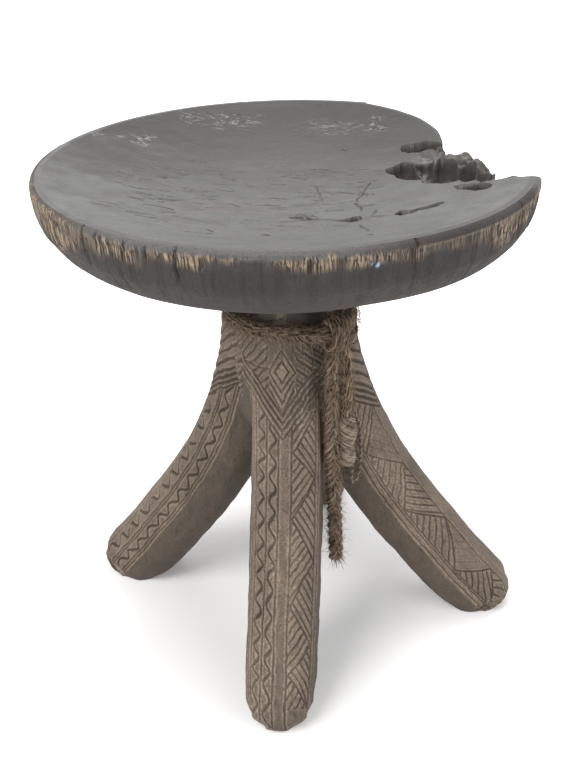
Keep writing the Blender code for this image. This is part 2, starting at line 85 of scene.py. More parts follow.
LIP_CENTRE = SEAT_RADIUS - LIP_RADIUS
NECK_TOP = STOOL_HEIGHT - SIDE_DROP - FILLET_RADIUS
NECK_LOW = NECK_TOP - NECK_LENGTH
LEG_TOP = NECK_TOP - LEG_TOP_DROP
CROTCH_HEIGHT = LEG_TOP * CROTCH_HEIGHT_SHARE
ARCH_HEIGHT = CROTCH_HEIGHT + HUB_RADIUS
LOOP_HEIGHT = LEG_TOP + LOOP_DIAMETER / 2 + CLEARANCE

# along a leg's centre line: how far out as a share of the reach, height as a share of the top, thickness
LEG_LINE_SHARES = (
    (0.140, 1.060, 0.97), (0.150, 0.940, 1.00), (0.238, 0.739, 1.00), (0.366, 0.560, 1.02),
    (0.542, 0.392, 1.03), (0.745, 0.238, 1.02), (0.925, 0.110, 1.01), (1.035, 0.050, 0.95),
    (1.095, 0.011, 0.78), (1.135, -0.016, 0.42),
)
# worn edge of the seat: azimuth in degrees and how much of the seat's radius is left there
WORN_EDGE_SHARES = (
    (-12.0, 1.040), (-9.4, 1.000), (-7.5, 0.940), (-2.4, 0.875), (3.8, 0.868), (12.5, 0.832), (19.0, 0.800),
    (24.0, 0.755), (27.5, 0.738), (32.0, 0.748), (36.5, 0.780), (45.5, 0.855), (55.0, 0.912), (65.0, 0.952),
    (78.0, 0.988), (90.0, 1.040),
)
# rotten hollows: azimuth and direction in degrees, then middle, half length and half width as shares of the
# seat's radius, and the half depth as a share of the rim's thickness
HOLLOW_SHARES = (
    (21.0, -26.0, 0.540, 0.115, 0.088, 0.36), (11.0, -26.0, 0.652, 0.125, 0.105, 0.42),
    (3.0, -24.0, 0.784, 0.100, 0.075, 0.36), (39.0, -17.0, 0.700, 0.100, 0.060, 0.34),
    (27.0, 20.0, 0.640, 0.055, 0.040, 0.28), (-9.8, -40.0, 0.764, 0.064, 0.042, 0.28),
    (-33.9, 12.0, 0.595, 0.044, 0.032, 0.22), (-26.7, 28.0, 0.643, 0.062, 0.038, 0.24),
    (-70.2, 4.0, 0.346, 0.044, 0.019, 0.16), (-51.8, 2.0, 0.455, 0.036, 0.015, 0.16),
)

# where the cords run, in metres
TAIL_STRAND_ROUTE = (
    (0.0369, -0.0411, 0.2634), (0.0364, -0.0428, 0.2520), (0.0361, -0.0446, 0.2360),
    (0.0356, -0.0460, 0.2150), (0.0352, -0.0468, 0.1960), (0.0352, -0.0471, 0.1800),
)
PLAITED_TAIL_ROUTE = (
    (0.0354, -0.0474, 0.1600), (0.0356, -0.0475, 0.1400), (0.0357, -0.0475, 0.1190),
    (0.0357, -0.0474, 0.0970), (0.0356, -0.0472, 0.0740),
)
KNOB_STRAND_ROUTE = (
    (0.0442, -0.0346, 0.2634), (0.0456, -0.0352, 0.2500), (0.0465, -0.0366, 0.2340),
    (0.0464, -0.0384, 0.2200), (0.0458, -0.0396, 0.2066),
)
THIN_LOOP_ROUTE = (
    (0.0515, -0.0362, 0.2085), (0.0542, -0.0344, 0.1990), (0.0558, -0.0332, 0.1880),
    (0.0563, -0.0328, 0.1760), (0.0560, -0.0330, 0.1640), (0.0548, -0.0337, 0.1530),
    (0.0528, -0.0349, 0.1450), (0.0504, -0.0364, 0.1420), (0.0490, -0.0373, 0.1455),
    (0.0492, -0.0372, 0.1520), (0.0502, -0.0366, 0.1590),
)
KNOB_TOP = 0.2063
KNOB_WAIST = 0.1793
KNOB_BOTTOM = 0.1621

# the camera: its angles in radians and its place in metres
FOCAL_PIXELS = 960.0
IMAGE_WIDTH = 576.0
PITCH = 0.5145
ROLL = -0.0542
TURN = 0.1618
SIDE_STEP = -0.0037
DISTANCE = 0.6644
EYE_HEIGHT = 0.5848


def place_camera():
    data = bpy.data.cameras.new("camera")
    data.sensor_fit = "HORIZONTAL"
    data.sensor_width = 36.0
    data.lens = FOCAL_PIXELS * data.sensor_width / IMAGE_WIDTH
    camera = bpy.data.objects.new("camera", data)
    bpy.context.scene.collection.objects.link(camera)
    turn = Matrix.Rotation(TURN, 3, "Z")
    forward = turn @ Vector((0, math.cos(PITCH), -math.sin(PITCH)))
    up = turn @ Vector((0, math.sin(PITCH), math.cos(PITCH)))
    right = turn @ Vector((1, 0, 0))
    rolled_right = right * math.cos(ROLL) + up * math.sin(ROLL)
    rolled_up = up * math.cos(ROLL) - right * math.sin(ROLL)
    matrix = Matrix((rolled_right, rolled_up, -forward)).transposed().to_4x4()
    matrix.translation = turn @ Vector((SIDE_STEP, -DISTANCE, EYE_HEIGHT))
    camera.matrix_world = matrix
    bpy.context.scene.camera = camera


place_camera()

# points and lines


def joined(x, y, z=0.0):
    """Points from their three coordinates."""
    return np.stack(np.broadcast_arrays(x, y, z), axis=-1)


def polar(radius, angle, height=0.0):
    """Points from their radius, azimuth and height."""
    return joined(radius * np.cos(angle), radius * np.sin(angle), height)


def unit(vectors):
    return vectors / np.linalg.norm(vectors, axis=-1, keepdims=True)


def half_turn(angle):
    """The same angle, between minus and plus half a turn."""
    return (angle + np.pi) % (2 * np.pi) - np.pi


def lengths_along(points):
    """How far along a line of points each of them lies."""
    return np.concatenate([[0], np.cumsum(np.linalg.norm(np.diff(points, axis=0), axis=1))])


def evenly_spaced(points, count):
    """A line drawn again with equal steps, and how far along it each new point lies."""
    steps = lengths_along(points)
    even = np.linspace(0, steps[-1], count)
    return np.stack([np.interp(even, steps, axis) for axis in points.T], axis=1), even


def nearness(distance, width):
    """1 on a line and 0 from its half width outwards."""
    return np.clip(1 - np.abs(distance) / width, 0, 1)


# fields and meshes


def noise(points, size, seed):
    """Smooth noise between -1 and 1, for an array of points."""
    lattice = np.random.default_rng(seed).random((32, 32, 32)) * 2 - 1
    place = points / np.asarray(size)
    cell = np.floor(place).astype(int)
    part = place - cell
    part = part * part * (3 - 2 * part)
    total = np.zeros(points.shape[:-1])
    for corner in np.ndindex(2, 2, 2):
        weight = np.ones(points.shape[:-1])
        for axis in range(3):
            weight = weight * (part[..., axis] if corner[axis] else 1 - part[..., axis])
        index = [(cell[..., axis] + corner[axis]) % 32 for axis in range(3)]
        total += weight * lattice[index[0], index[1], index[2]]
    return total


def rough(points, size, seed, layers=3):
    """Noise in several sizes, each half as large and half as strong as the one before."""
    total = np.zeros(points.shape[:-1])
    for layer in range(layers):
        total += noise(points, np.asarray(size) / 2**layer, seed + layer) / 2**layer
    return total


def smooth_step(low, high, value):
    share = np.clip((value - low) / (high - low), 0, 1)
    return share * share * (3 - 2 * share)


def box_blur(field, reach, wrap=False):
    """The mean of a field over its neighbours along both ways of the grid."""
    total = field
    for axis in (0, 1):
        width = [(0, 0), (0, 0)]
        width[axis] = (reach, reach)
        padded = np.pad(total, width, mode="wrap" if wrap and axis == 1 else "edge")
        sums = np.cumsum(padded, axis=axis)
        count = 2 * reach + 1
        ends = np.take(sums, range(count - 1, sums.shape[axis]), axis=axis)
        starts = np.take(sums, range(0, sums.shape[axis] - count), axis=axis)
        starts = np.concatenate([np.zeros_like(np.take(sums, [0], axis=axis)), starts], axis=axis)
        total = (ends - starts) / count
    return total


def new_mesh(name, points, faces, fields):
    """A mesh kept inside the box of the solids, with a value for each field at each point."""
    points = np.clip(points.reshape(-1, 3), BOX_LOW, BOX_HIGH)
    mesh = bpy.data.meshes.new(name)
    mesh.vertices.add(len(points))
    mesh.vertices.foreach_set("co", points.astype(np.float32).ravel())
    mesh.loops.add(faces.size)
    mesh.loops.foreach_set("vertex_index", faces.ravel().astype(np.int32))
    mesh.polygons.add(len(faces))
    mesh.polygons.foreach_set("loop_start", np.arange(0, faces.size, faces.shape[1], dtype=np.int32))
    mesh.polygons.foreach_set("use_smooth", np.ones(len(faces), dtype=bool))
    mesh.update(calc_edges=True)
    for label, values in fields.items():
        layer = mesh.attributes.new(label, "FLOAT", "POINT")
        layer.data.foreach_set("value", values.astype(np.float32).ravel())
    return mesh


def add_piece(name, mesh, body, material):
    piece = bpy.data.objects.new(name, mesh)
    bpy.context.scene.collection.objects.link(piece)
    mesh.materials.append(material)
    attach(piece, body)
    return piece


def wood_piece(name, points, faces, fields, material, caps=()):
    """A piece of the carved block."""
    mesh = new_mesh(name, points, faces, fields)
    if len(caps):
        add_triangles(mesh, caps)
    return add_piece(name, mesh, "stool", material)


def add_triangles(mesh, triangles):
    """Closes a mesh with more faces, keeping its fields."""
    bm = bmesh.new()
    bm.from_mesh(mesh)
    bm.verts.ensure_lookup_table()
    for corners in triangles:
        bm.faces.new([bm.verts[int(corner)] for corner in corners]).smooth = True
    bm.to_mesh(mesh)
    bm.free()


def grid_faces(rows, columns, wrap=False, flip=False):
    index = np.arange(rows * columns).reshape(rows, columns)
    if wrap:
        index = np.concatenate([index, index[:, :1]], axis=1)
    corners = [index[:-1, :-1], index[:-1, 1:], index[1:, 1:], index[1:, :-1]]
    faces = np.stack(corners, axis=-1).reshape(-1, 4)
    return faces[:, ::-1] if flip else faces


def surface_normals(points):
    """Unit normals of a grid of points whose rows close round on themselves."""
    padded = np.concatenate([points[:, -1:], points, points[:, :1]], axis=1)
    normal = np.cross(np.gradient(points, axis=0), np.gradient(padded, axis=1)[:, 1:-1])
    return normal / np.maximum(np.linalg.norm(normal, axis=-1, keepdims=True), 1e-12)


# node groups shared by the finishes


class Nodes:
    """Places and joins shader nodes in one tree."""

    def __init__(self, tree):
        self.tree = tree
        self.column = 0

    def add(self, kind, **settings):
        node = self.tree.nodes.new(kind)
        node.location = (self.column * 180, 0)
        self.column += 1
        for key, value in settings.items():
            setattr(node, key, value)
        return node

    def put(self, node, socket, value):
        """Joins another socket to this one, or sets its value, where a colour is three numbers."""
        target = node.inputs[socket]
        if isinstance(value, bpy.types.NodeSocket):
            self.tree.links.new(value, target)
        else:
            target.default_value = (*value, 1.0) if target.type == "RGBA" else value

    def math(self, operation, *values, clamp=False):
        node = self.add("ShaderNodeMath", operation=operation, use_clamp=clamp)
        for index, value in enumerate(values):
            self.put(node, index, value)
        return node.outputs[0]

    def total(self, first, *weighed):
        """A value plus others, each times its weight."""
        for value, weight in weighed:
            first = self.math("ADD", first, self.math("MULTIPLY", value, weight))
        return first

    def mix(self, share, first, second):
        node = self.add("ShaderNodeMix", data_type="RGBA")
        for index, value in ((0, share), (6, first), (7, second)):
            self.put(node, index, value)
        return node.outputs[2]

    def tint(self, colour, tone, mask, *shares):
        """Lays a tone over a colour where a mask, times its shares, is high."""
        for share in shares:
            mask = self.math("MULTIPLY", mask, share, clamp=True)
        return self.mix(mask, colour, tone)

    def spread(self, value, low, high, start=0.0, end=1.0):
        node = self.add("ShaderNodeMapRange")
        for index, item in enumerate((value, low, high, start, end)):
            self.put(node, index, item)
        return node.outputs[0]

    def place(self):
        return self.add("ShaderNodeTexCoord").outputs["Object"]

    def stretched(self, scale):
        mapping = self.add("ShaderNodeMapping")
        self.put(mapping, "Vector", self.place())
        self.put(mapping, "Scale", scale)
        return mapping.outputs[0]

    def noise(self, vector, scale, detail=4.0, roughness=0.6, distortion=0.0):
        node = self.add("ShaderNodeTexNoise")
        for key, item in (
            ("Vector", vector), ("Scale", scale), ("Detail", detail), ("Roughness", roughness),
            ("Distortion", distortion),
        ):
            self.put(node, key, item)
        return node.outputs["Fac"]

    def field(self, label):
        return self.add("ShaderNodeAttribute", attribute_name=label).outputs["Fac"]


def new_group(name, inputs, outputs):
    """A node group with named inputs (name, kind, value) and outputs (name, kind)."""
    group = bpy.data.node_groups.new(name, "ShaderNodeTree")
    for label, kind, value in inputs:
        group.interface.new_socket(label, in_out="INPUT", socket_type=kind).default_value = value
    for label, kind in outputs:
        group.interface.new_socket(label, in_out="OUTPUT", socket_type=kind)
    nodes = Nodes(group)
    return group, nodes, nodes.add("NodeGroupInput"), nodes.add("NodeGroupOutput")


FLOAT = "NodeSocketFloat"
COLOUR = "NodeSocketColor"


def make_grain_group():
    """Long grain and fine pores of old wood that run along one way of the object."""
    group, nodes, entry, leave = new_group(
        "old_wood_grain",
        (("Along X", FLOAT, 6.0), ("Along Y", FLOAT, 60.0), ("Along Z", FLOAT, 60.0)),
        (("Streaks", FLOAT), ("Pores", FLOAT), ("Height", FLOAT)),
    )
    combine = nodes.add("ShaderNodeCombineXYZ")
    for index, label in enumerate(("Along X", "Along Y", "Along Z")):
        nodes.put(combine, index, entry.outputs[label])
    scaled = nodes.add("ShaderNodeVectorMath", operation="MULTIPLY")
    nodes.put(scaled, 0, nodes.place())
    nodes.put(scaled, 1, combine.outputs[0])
    streaks = nodes.noise(scaled.outputs[0], 1.0, 5.0, 0.62, 0.6)
    pores = nodes.spread(nodes.noise(scaled.outputs[0], 5.0, 3.0, 0.7, 0.2), 0.60, 0.72)
    nodes.put(leave, "Streaks", streaks)
    nodes.put(leave, "Pores", pores)
    nodes.put(leave, "Height", nodes.total(nodes.math("MULTIPLY", streaks, 0.6), (pores, -0.5)))
    return group


def make_dust_group():
    """Patches of grey dust and darker grease, in soft uneven islands."""
    group, nodes, entry, leave = new_group(
        "dust_and_grease",
        (("Colour", COLOUR, (0.2, 0.18, 0.15, 1)), ("Dust", COLOUR, (0.35, 0.34, 0.32, 1)),
         ("Grease", COLOUR, (0.05, 0.045, 0.04, 1)), ("Dust share", FLOAT, 0.4),
         ("Grease share", FLOAT, 0.4)),
        (("Colour", COLOUR), ("Mask", FLOAT)),
    )
    given = entry.outputs
    place = nodes.place()
    dust = nodes.spread(nodes.noise(place, 38.0, 6.0, 0.68), 0.42, 0.66)
    grease = nodes.spread(nodes.noise(place, 21.0, 5.0, 0.66, 0.4), 0.50, 0.72)
    colour = nodes.tint(given["Colour"], given["Dust"], dust, given["Dust share"])
    nodes.put(leave, "Colour", nodes.tint(colour, given["Grease"], grease, given["Grease share"]))
    nodes.put(leave, "Mask", dust)
    return group


GRAIN_GROUP = make_grain_group()
DUST_GROUP = make_dust_group()


def new_material(name, roughness, specular=0.4):
    material = bpy.data.materials.new(name)
    material.use_nodes = True
    shader = material.node_tree.nodes["Principled BSDF"]
    shader.inputs["Roughness"].default_value = roughness
    shader.inputs["Specular IOR Level"].default_value = specular
    return material, Nodes(material.node_tree), shader


def place_group(nodes, group, **values):
    node = nodes.add("ShaderNodeGroup", node_tree=group)
    for key, value in values.items():
        nodes.put(node, key.replace("_", " "), value)
    return node


def finish_surface(nodes, shader, colour, height, bump):
    """Joins a finish's colour and its bump, whose height is in metres, to the shader."""
    relief = nodes.add("ShaderNodeBump")
    for socket, value in (("Strength", 1.0), ("Distance", bump), ("Height", height)):
        nodes.put(relief, socket, value)
    nodes.put(shader, "Normal", relief.outputs[0])
    nodes.put(shader, "Base Color", colour)


# tones of the wood where it is worn, scuffed or stained, and the dark tone of painted shade laid into its
# cuts and hollows
RUBBED_WOOD = (0.400, 0.315, 0.235)
SPLIT_WOOD = (0.470, 0.345, 0.230)
POLISHED_WOOD = (0.120, 0.117, 0.111)
PALE_ROT = (0.290, 0.268, 0.238)
DARK_ROT = (0.062, 0.054, 0.046)
PALE_SCUFF = (0.330, 0.315, 0.285)
DARK_SCUFF = (0.022, 0.019, 0.016)
BROWN_STAIN = (0.105, 0.076, 0.056)
BLUE_PAINT = (0.330, 0.470, 0.680)
IN_SHADE_AND_MARKS = (0.026, 0.020, 0.016)
IN_PORE = (0.030, 0.026, 0.022)
IN_SPLIT = (0.016, 0.013, 0.011)
IN_CRACK = (0.014, 0.012, 0.010)


def bruised_colour(nodes, colour, grease):
    """Scuffs, a stain, long scratches and cracks of the sitting surface."""
    scuffs = nodes.noise(nodes.stretched((0.45, 1.0, 1.0)), 330.0, 3.0, 0.7, 0.6)
    bruise = nodes.field("bruise")
    colour = nodes.tint(colour, PALE_SCUFF, bruise, nodes.spread(scuffs, 0.53, 0.60))
    colour = nodes.tint(colour, DARK_SCUFF, bruise, nodes.spread(scuffs, 0.46, 0.40))
    colour = nodes.tint(colour, BROWN_STAIN, nodes.field("stain"), 0.65)
    scratches = nodes.noise(nodes.stretched((0.05, 1.0, 1.0)), 520.0, 2.0, 0.6, 0.3)
    colour = nodes.tint(colour, grease, nodes.spread(scratches, 0.58, 0.66, 0.0, 0.45))
    # the field holds how near the crack is, so that its line stays thin
    return nodes.tint(colour, IN_CRACK, nodes.spread(nodes.field("crack"), 0.79, 0.91))


def split_colour(nodes, colour, polish, streaks):
    """Polish, pale splits with dark gaps between them, and a fleck of paint on the rim."""
    colour = nodes.tint(colour, POLISHED_WOOD, polish)
    opened = nodes.field("split")
    colour = nodes.tint(colour, SPLIT_WOOD, opened, nodes.spread(streaks, 0.47, 0.55))
    gaps = nodes.spread(streaks, 0.45, 0.38)
    colour = nodes.tint(colour, IN_SPLIT, gaps, nodes.spread(opened, 0.0, 0.6, 0.30, 1.0))
    return nodes.tint(colour, BLUE_PAINT, nodes.field("paint"))


def wood_material(name, base, dust, grease, dust_share, grease_share, grain, roughness, bump, shade=0.88,
                  fleck=0.45, split=0.0, bruised=False, specular=0.4):
    """Old carved wood. The mesh gives its fields: cut (painted shade in the carving and the hollows, darker
    where they are deeper, with real dark scars and cracks), wear (raised and rubbed edges), rot (soft
    crumbling wood) and soot (dark greasy places, and painted shade under the seat, on the flanks of the legs
    and at the back of the dish). Bruised wood also has bruise (where it is scuffed), stain and crack (how
    near the next crack is). Split wood also has split (where fine splits show pale wood), polish (where it is
    rubbed smooth) and paint (a fleck of paint)."""
    material, nodes, shader = new_material(name, roughness[0], specular)
    grained = place_group(nodes, GRAIN_GROUP, Along_X=grain[0], Along_Y=grain[1], Along_Z=grain[2])
    tone = nodes.spread(grained.outputs["Streaks"], 0.30, 0.72)
    colour = nodes.mix(tone, tuple(part * 0.58 for part in base), base)
    dusted = place_group(nodes, DUST_GROUP, Colour=colour, Dust=dust, Grease=grease,
                         Dust_share=dust_share, Grease_share=grease_share)
    place = nodes.place()
    shade_and_dark_marks, wear, rot = (nodes.field(label) for label in ("shade_and_dark_marks", "wear", "rot"))
    speckle = nodes.noise(place, 420.0, 3.0, 0.7)
    fine = nodes.noise(place, 1150.0, 2.0, 0.6)
    # soot and painted shade darken the wood towards its greasy tone
    colour = nodes.tint(dusted.outputs["Colour"], grease, nodes.field("soot_and_shade"), 0.75)
    colour = nodes.tint(colour, grease, nodes.spread(fine, 0.38, 0.62, fleck, 0.0))
    rotten = nodes.mix(nodes.spread(nodes.noise(place, 240.0, 5.0, 0.7), 0.38, 0.60), DARK_ROT, PALE_ROT)
    colour = nodes.mix(rot, colour, rotten)
    colour = nodes.tint(colour, RUBBED_WOOD, wear, nodes.spread(speckle, 0.32, 0.60))
    height = nodes.total(grained.outputs["Height"], (speckle, 0.60), (fine, 0.25))
    rougher = nodes.total(nodes.math("MULTIPLY", rot, 0.25), (shade_and_dark_marks, 0.2))
    if bruised:
        colour = bruised_colour(nodes, colour, grease)
    if split:
        polish = nodes.field("polish")
        streaks = nodes.noise(nodes.stretched((1.0, 1.0, 0.065)), split, 3.0, 0.66, 0.5)
        colour = split_colour(nodes, colour, polish, streaks)
        height = nodes.total(height, (streaks, 1.4))
        rougher = nodes.total(rougher, (polish, -0.28))
    # painted shade: the dark tone laid into the carving, the cracks and the hollows, along with real dark
    # scars
    colour = nodes.tint(colour, IN_SHADE_AND_MARKS, shade_and_dark_marks, shade)
    colour = nodes.tint(colour, IN_PORE, grained.outputs["Pores"], 0.35)
    level = nodes.spread(dusted.outputs["Mask"], 0.0, 1.0, *roughness)
    nodes.put(shader, "Roughness", nodes.math("ADD", level, rougher, clamp=True))
    finish_surface(nodes, shader, colour, height, bump)
    return material


def fibre_material(name, dark, light):
    """Old plant fibre: fine streaks with paler and browner threads."""
    material, nodes, shader = new_material(name, 0.92, 0.2)
    coarse = nodes.noise(nodes.place(), 260.0, 3.0, 0.6)
    fine = nodes.noise(nodes.stretched((1.0, 1.0, 0.25)), 1400.0, 3.0, 0.7)
    tone = nodes.total(nodes.math("MULTIPLY", coarse, 0.45), (fine, 0.35), (nodes.field("thread"), 0.40))
    finish_surface(nodes, shader, nodes.mix(nodes.spread(tone, 0.36, 0.82), dark, light), fine, 0.0003)
    return material


SEAT_WOOD = wood_material(
    "polished_grey_seat", (0.086, 0.084, 0.080), (0.134, 0.132, 0.126), (0.022, 0.020, 0.018),
    0.50, 0.45, (9.0, 75.0, 75.0), (0.30, 0.46), 0.00030, shade=1.0, bruised=True, specular=0.60)
RIM_WOOD = wood_material(
    "weathered_rim", (0.088, 0.076, 0.067), (0.135, 0.120, 0.106), (0.026, 0.023, 0.021),
    0.50, 0.45, (60.0, 60.0, 30.0), (0.58, 0.80), 0.0006, split=1050.0)
NECK_WOOD = wood_material(
    "dark_neck", (0.190, 0.158, 0.132), (0.290, 0.242, 0.200), (0.040, 0.034, 0.029),
    0.45, 0.50, (50.0, 50.0, 12.0), (0.66, 0.86), 0.0007)
LEG_WOOD = wood_material(
    "carved_leg_wood", (0.260, 0.194, 0.141), (0.366, 0.286, 0.213), (0.062, 0.050, 0.041),
    0.55, 0.60, (70.0, 70.0, 16.0), (0.60, 0.82), 0.0011, shade=0.78, fleck=0.70)
PLAIT_FIBRE = fibre_material("plaited_fibre_finish", (0.034, 0.022, 0.014), (0.460, 0.350, 0.248))
BOUND_FIBRE = fibre_material("bound_fibre_finish", (0.085, 0.062, 0.044), (0.600, 0.500, 0.385))

# cords

# between these heights the tail's loose yarn becomes a plait
LOOSE_ABOVE = 0.215
PLAITED_BELOW = 0.165
# the length of one turn of each plait, in metres
TAIL_PLAIT_PERIOD = 0.0235
STRAND_PLAIT_PERIOD = 0.026
RING_PLAIT_PERIOD = 0.021
# the wraps of the hitch: how many, then their start, step, radius and drop in metres, and how tall they are
HITCH_WRAPS = 8
HITCH_WRAP_START = -0.0105
HITCH_WRAP_STEP = 0.0028
HITCH_WRAP_RADIUS = 0.0070
HITCH_DROP = 0.0012
HITCH_STRETCH = 1.5
# how the upper end of a hanging cord goes on into the hitch, and how far out the knob's threads lie
HELD_STEP = (0.0010, 0.0010, 0.0042)
KNOB_LAYER = 0.0026
# how far out the fibres of a yarn lie, as shares of its radius, and how their starts are spread round it
OUTER_FIBRES = 0.86
INNER_FIBRES = 0.45
START_SPREAD = 1.618
ROUTE_STEPS = 24
HAIR_POINTS = 7
RING_POINTS = 420


def smooth_route(points, count):
    """Evenly spaced points on a smooth curve through the given points."""
    points = np.array(points, dtype=float)
    padded = np.vstack([2 * points[0] - points[1], points, 2 * points[-1] - points[-2]])
    route = []
    for a, b, c, d in zip(padded, padded[1:], padded[2:], padded[3:]):
        for t in np.linspace(0, 1, ROUTE_STEPS, endpoint=False):
            route.append(0.5 * (2 * b + (c - a) * t + (2 * a - 5 * b + 4 * c - d) * t**2
                                + (3 * b - a - 3 * c + d) * t**3))
    return evenly_spaced(np.array(route + [points[-1]]), count)[0]


def into_hitch(points):
    """A hanging cord's points with one more above them, so that its end is held in the hitch."""
    return (tuple(np.add(points[0], HELD_STEP)),) + points


def route_length(route):
    return float(lengths_along(route)[-1])


def route_frames(route):
    """Two steady directions square to the route at each of its points."""
    ahead = unit(np.gradient(route, axis=0))
    side = np.cross(ahead[0], (0.31, 0.95, 0.05))
    first = []
    for way in ahead:
        side = unit(side - way * side.dot(way))
        first.append(side)
    first = np.array(first)
    return first, np.cross(ahead, first)


def tubes(strands, sides):
    """Points, faces and a thread value for many thin tubes: each strand is (points, radii, thread value)."""
    all_points, all_faces, all_threads = [], [], []
    offset = 0
    turn = np.linspace(0, 2 * np.pi, sides, endpoint=False)[None, :, None]
    for points, radii, thread in strands:
        first, second = route_frames(points)
        radii = np.broadcast_to(radii, (len(points),))
        ring = np.cos(turn) * first[:, None] + np.sin(turn) * second[:, None]
        all_points.append((points[:, None] + ring * radii[:, None, None]).reshape(-1, 3))
        all_faces.append(grid_faces(len(points), sides, wrap=True, flip=True) + offset)
        all_threads.append(np.full(len(points) * sides, thread))
        offset += len(points) * sides
    return np.concatenate(all_points), np.concatenate(all_faces), np.concatenate(all_threads)


def yarn(route, radius, core, turns, count, fibre, seed, core_thread=0.1):
    """A yarn round a core: fibres that wind along a route, each at its own distance from the middle."""
    random = np.random.default_rng(seed)
    first, second = route_frames(route)
    along = np.linspace(0, 1, len(route))
    strands = []
    for index in range(count):
        out = radius * (OUTER_FIBRES if index >= count // 3 else INNER_FIBRES) * random.uniform(0.90, 1.0)
        wobble = random.uniform(0.04, 0.16) * np.sin(along * random.uniform(8, 30) + random.uniform(0, 6))
        angle = 2 * np.pi * (index / count * START_SPREAD + turns * along) + wobble * 3
        reach = out * (1 + wobble)
        place = route + first * (np.cos(angle) * reach)[:, None] + second * (np.sin(angle) * reach)[:, None]
        strands.append((place, fibre * random.uniform(0.8, 1.15), random.random()))
    return strands + [(route, core, core_thread)]


def plait(route, sideways, outward, width, thickness, period, start=0.0):
    """The middle lines of a plait's three yarns along a route."""
    steps = lengths_along(route)
    for index in range(3):
        phase = 2 * np.pi * (steps / period + index / 3) + start
        yield (route + sideways * (np.sin(phase) * width)[:, None]
               + outward * (np.sin(2 * phase) * thickness)[:, None])


def hairs(route, radius, count, length, thick, seed, droop=0.4, spread=1.0):
    """Stray fibres that leave a cord and bend down under their own weight."""
    random = np.random.default_rng(seed)
    first, second = route_frames(route)
    ahead = np.cross(first, second)
    share = np.linspace(0, 1, HAIR_POINTS)[:, None]
    strands = []
    for _ in range(count):
        index = random.integers(1, len(route) - 1)
        angle = random.uniform(0, 2 * np.pi)
        out = first[index] * math.cos(angle) + second[index] * math.sin(angle)
        lean = ahead[index] * random.uniform(-0.9, 1.2)
        reach = length * random.uniform(0.35, 1.0)
        curl = random.normal(0, 0.35, 3)
        place = route[index] + out * radius * 0.8 + unit(out * spread + lean) * reach * share
        place = place + (curl * 0.5 - np.array((0, 0, droop))) * reach * share**2
        strands.append((place, thick * np.linspace(1.0, 0.45, HAIR_POINTS), random.uniform(0.3, 1.0)))
    return strands


def matting(route, radius, count, seed):
    """Short fibres that lie nearly along a cord and mat its surface."""
    return hairs(route, radius, count, 0.012, 0.00017, seed, 0.05, 0.16)


def fibre_piece(name, strands, sides, body="hanging_cord", material=PLAIT_FIBRE):
    points, faces, threads = tubes(strands, sides)
    return add_piece(name, new_mesh(name, points, faces, {"thread": threads}), body, material)


def frayed_end(end):
    """A tuft of fibres at the end of the tail."""
    random = np.random.default_rng(77)
    share = np.linspace(0, 1, 6)[:, None]
    tuft = []
    for _ in range(46):
        out = polar(1.0, random.uniform(0, 2 * np.pi))
        reach = random.uniform(0.004, 0.011)
        start = end + out * random.uniform(0.0005, 0.0040) + (0, 0, 0.003)
        place = start + (out * 0.45 + (0.25, 0, -0.9)) * reach * share
        tuft.append((place, 0.00022 * np.linspace(1, 0.4, 6), random.uniform(0.2, 0.9)))
    return tuft


def make_tail():
    """The long cord: a loose yarn that becomes a plait, with a frayed end."""
    points = TAIL_STRAND_ROUTE + PLAITED_TAIL_ROUTE
    route = smooth_route(into_hitch(points), 200)
    # the plait grows wider where the loose yarn ends
    plaited = smooth_step(LOOSE_ABOVE, PLAITED_BELOW, route[:, 2])
    outward = np.array((0.62, -0.78, 0.0))
    across = np.cross((0.0, 0.0, 1.0), outward)
    width, thickness = 0.0024 + 0.0013 * plaited, 0.0010 + 0.0006 * plaited
    thick = 0.0025 + 0.0003 * plaited
    strands = []
    for index, line in enumerate(plait(route, across, outward, width, thickness, TAIL_PLAIT_PERIOD)):
        strands += yarn(line, thick, thick * 0.80, 7.0, 13, 0.00062, 40 + index)
    tail = fibre_piece("plaited_tail_cord", strands, 5)
    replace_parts(tail, "tail_strand", "plaited_tail")
    fray = hairs(route[8:], 0.0048, 240, 0.0075, 0.00014, 61, 0.3, 0.6) + matting(route, 0.0056, 1000, 62)
    frayed = fibre_piece("frayed_tail_fibres", fray + frayed_end(route[-1]), 3)


def knob_radius(height):
    """Radius of the bound end of the strand: two lobes with a waist between them."""
    upper = height > KNOB_WAIST
    share = np.where(upper, (height - KNOB_WAIST) / (KNOB_TOP - KNOB_WAIST),
                     (KNOB_WAIST - height) / (KNOB_WAIST - KNOB_BOTTOM))
    swell = np.sin(np.pi * np.clip(share, 0, 1)) ** 0.7
    return np.where(upper, 0.0020 + 0.0026 * swell, 0.0018 + 0.0020 * swell)


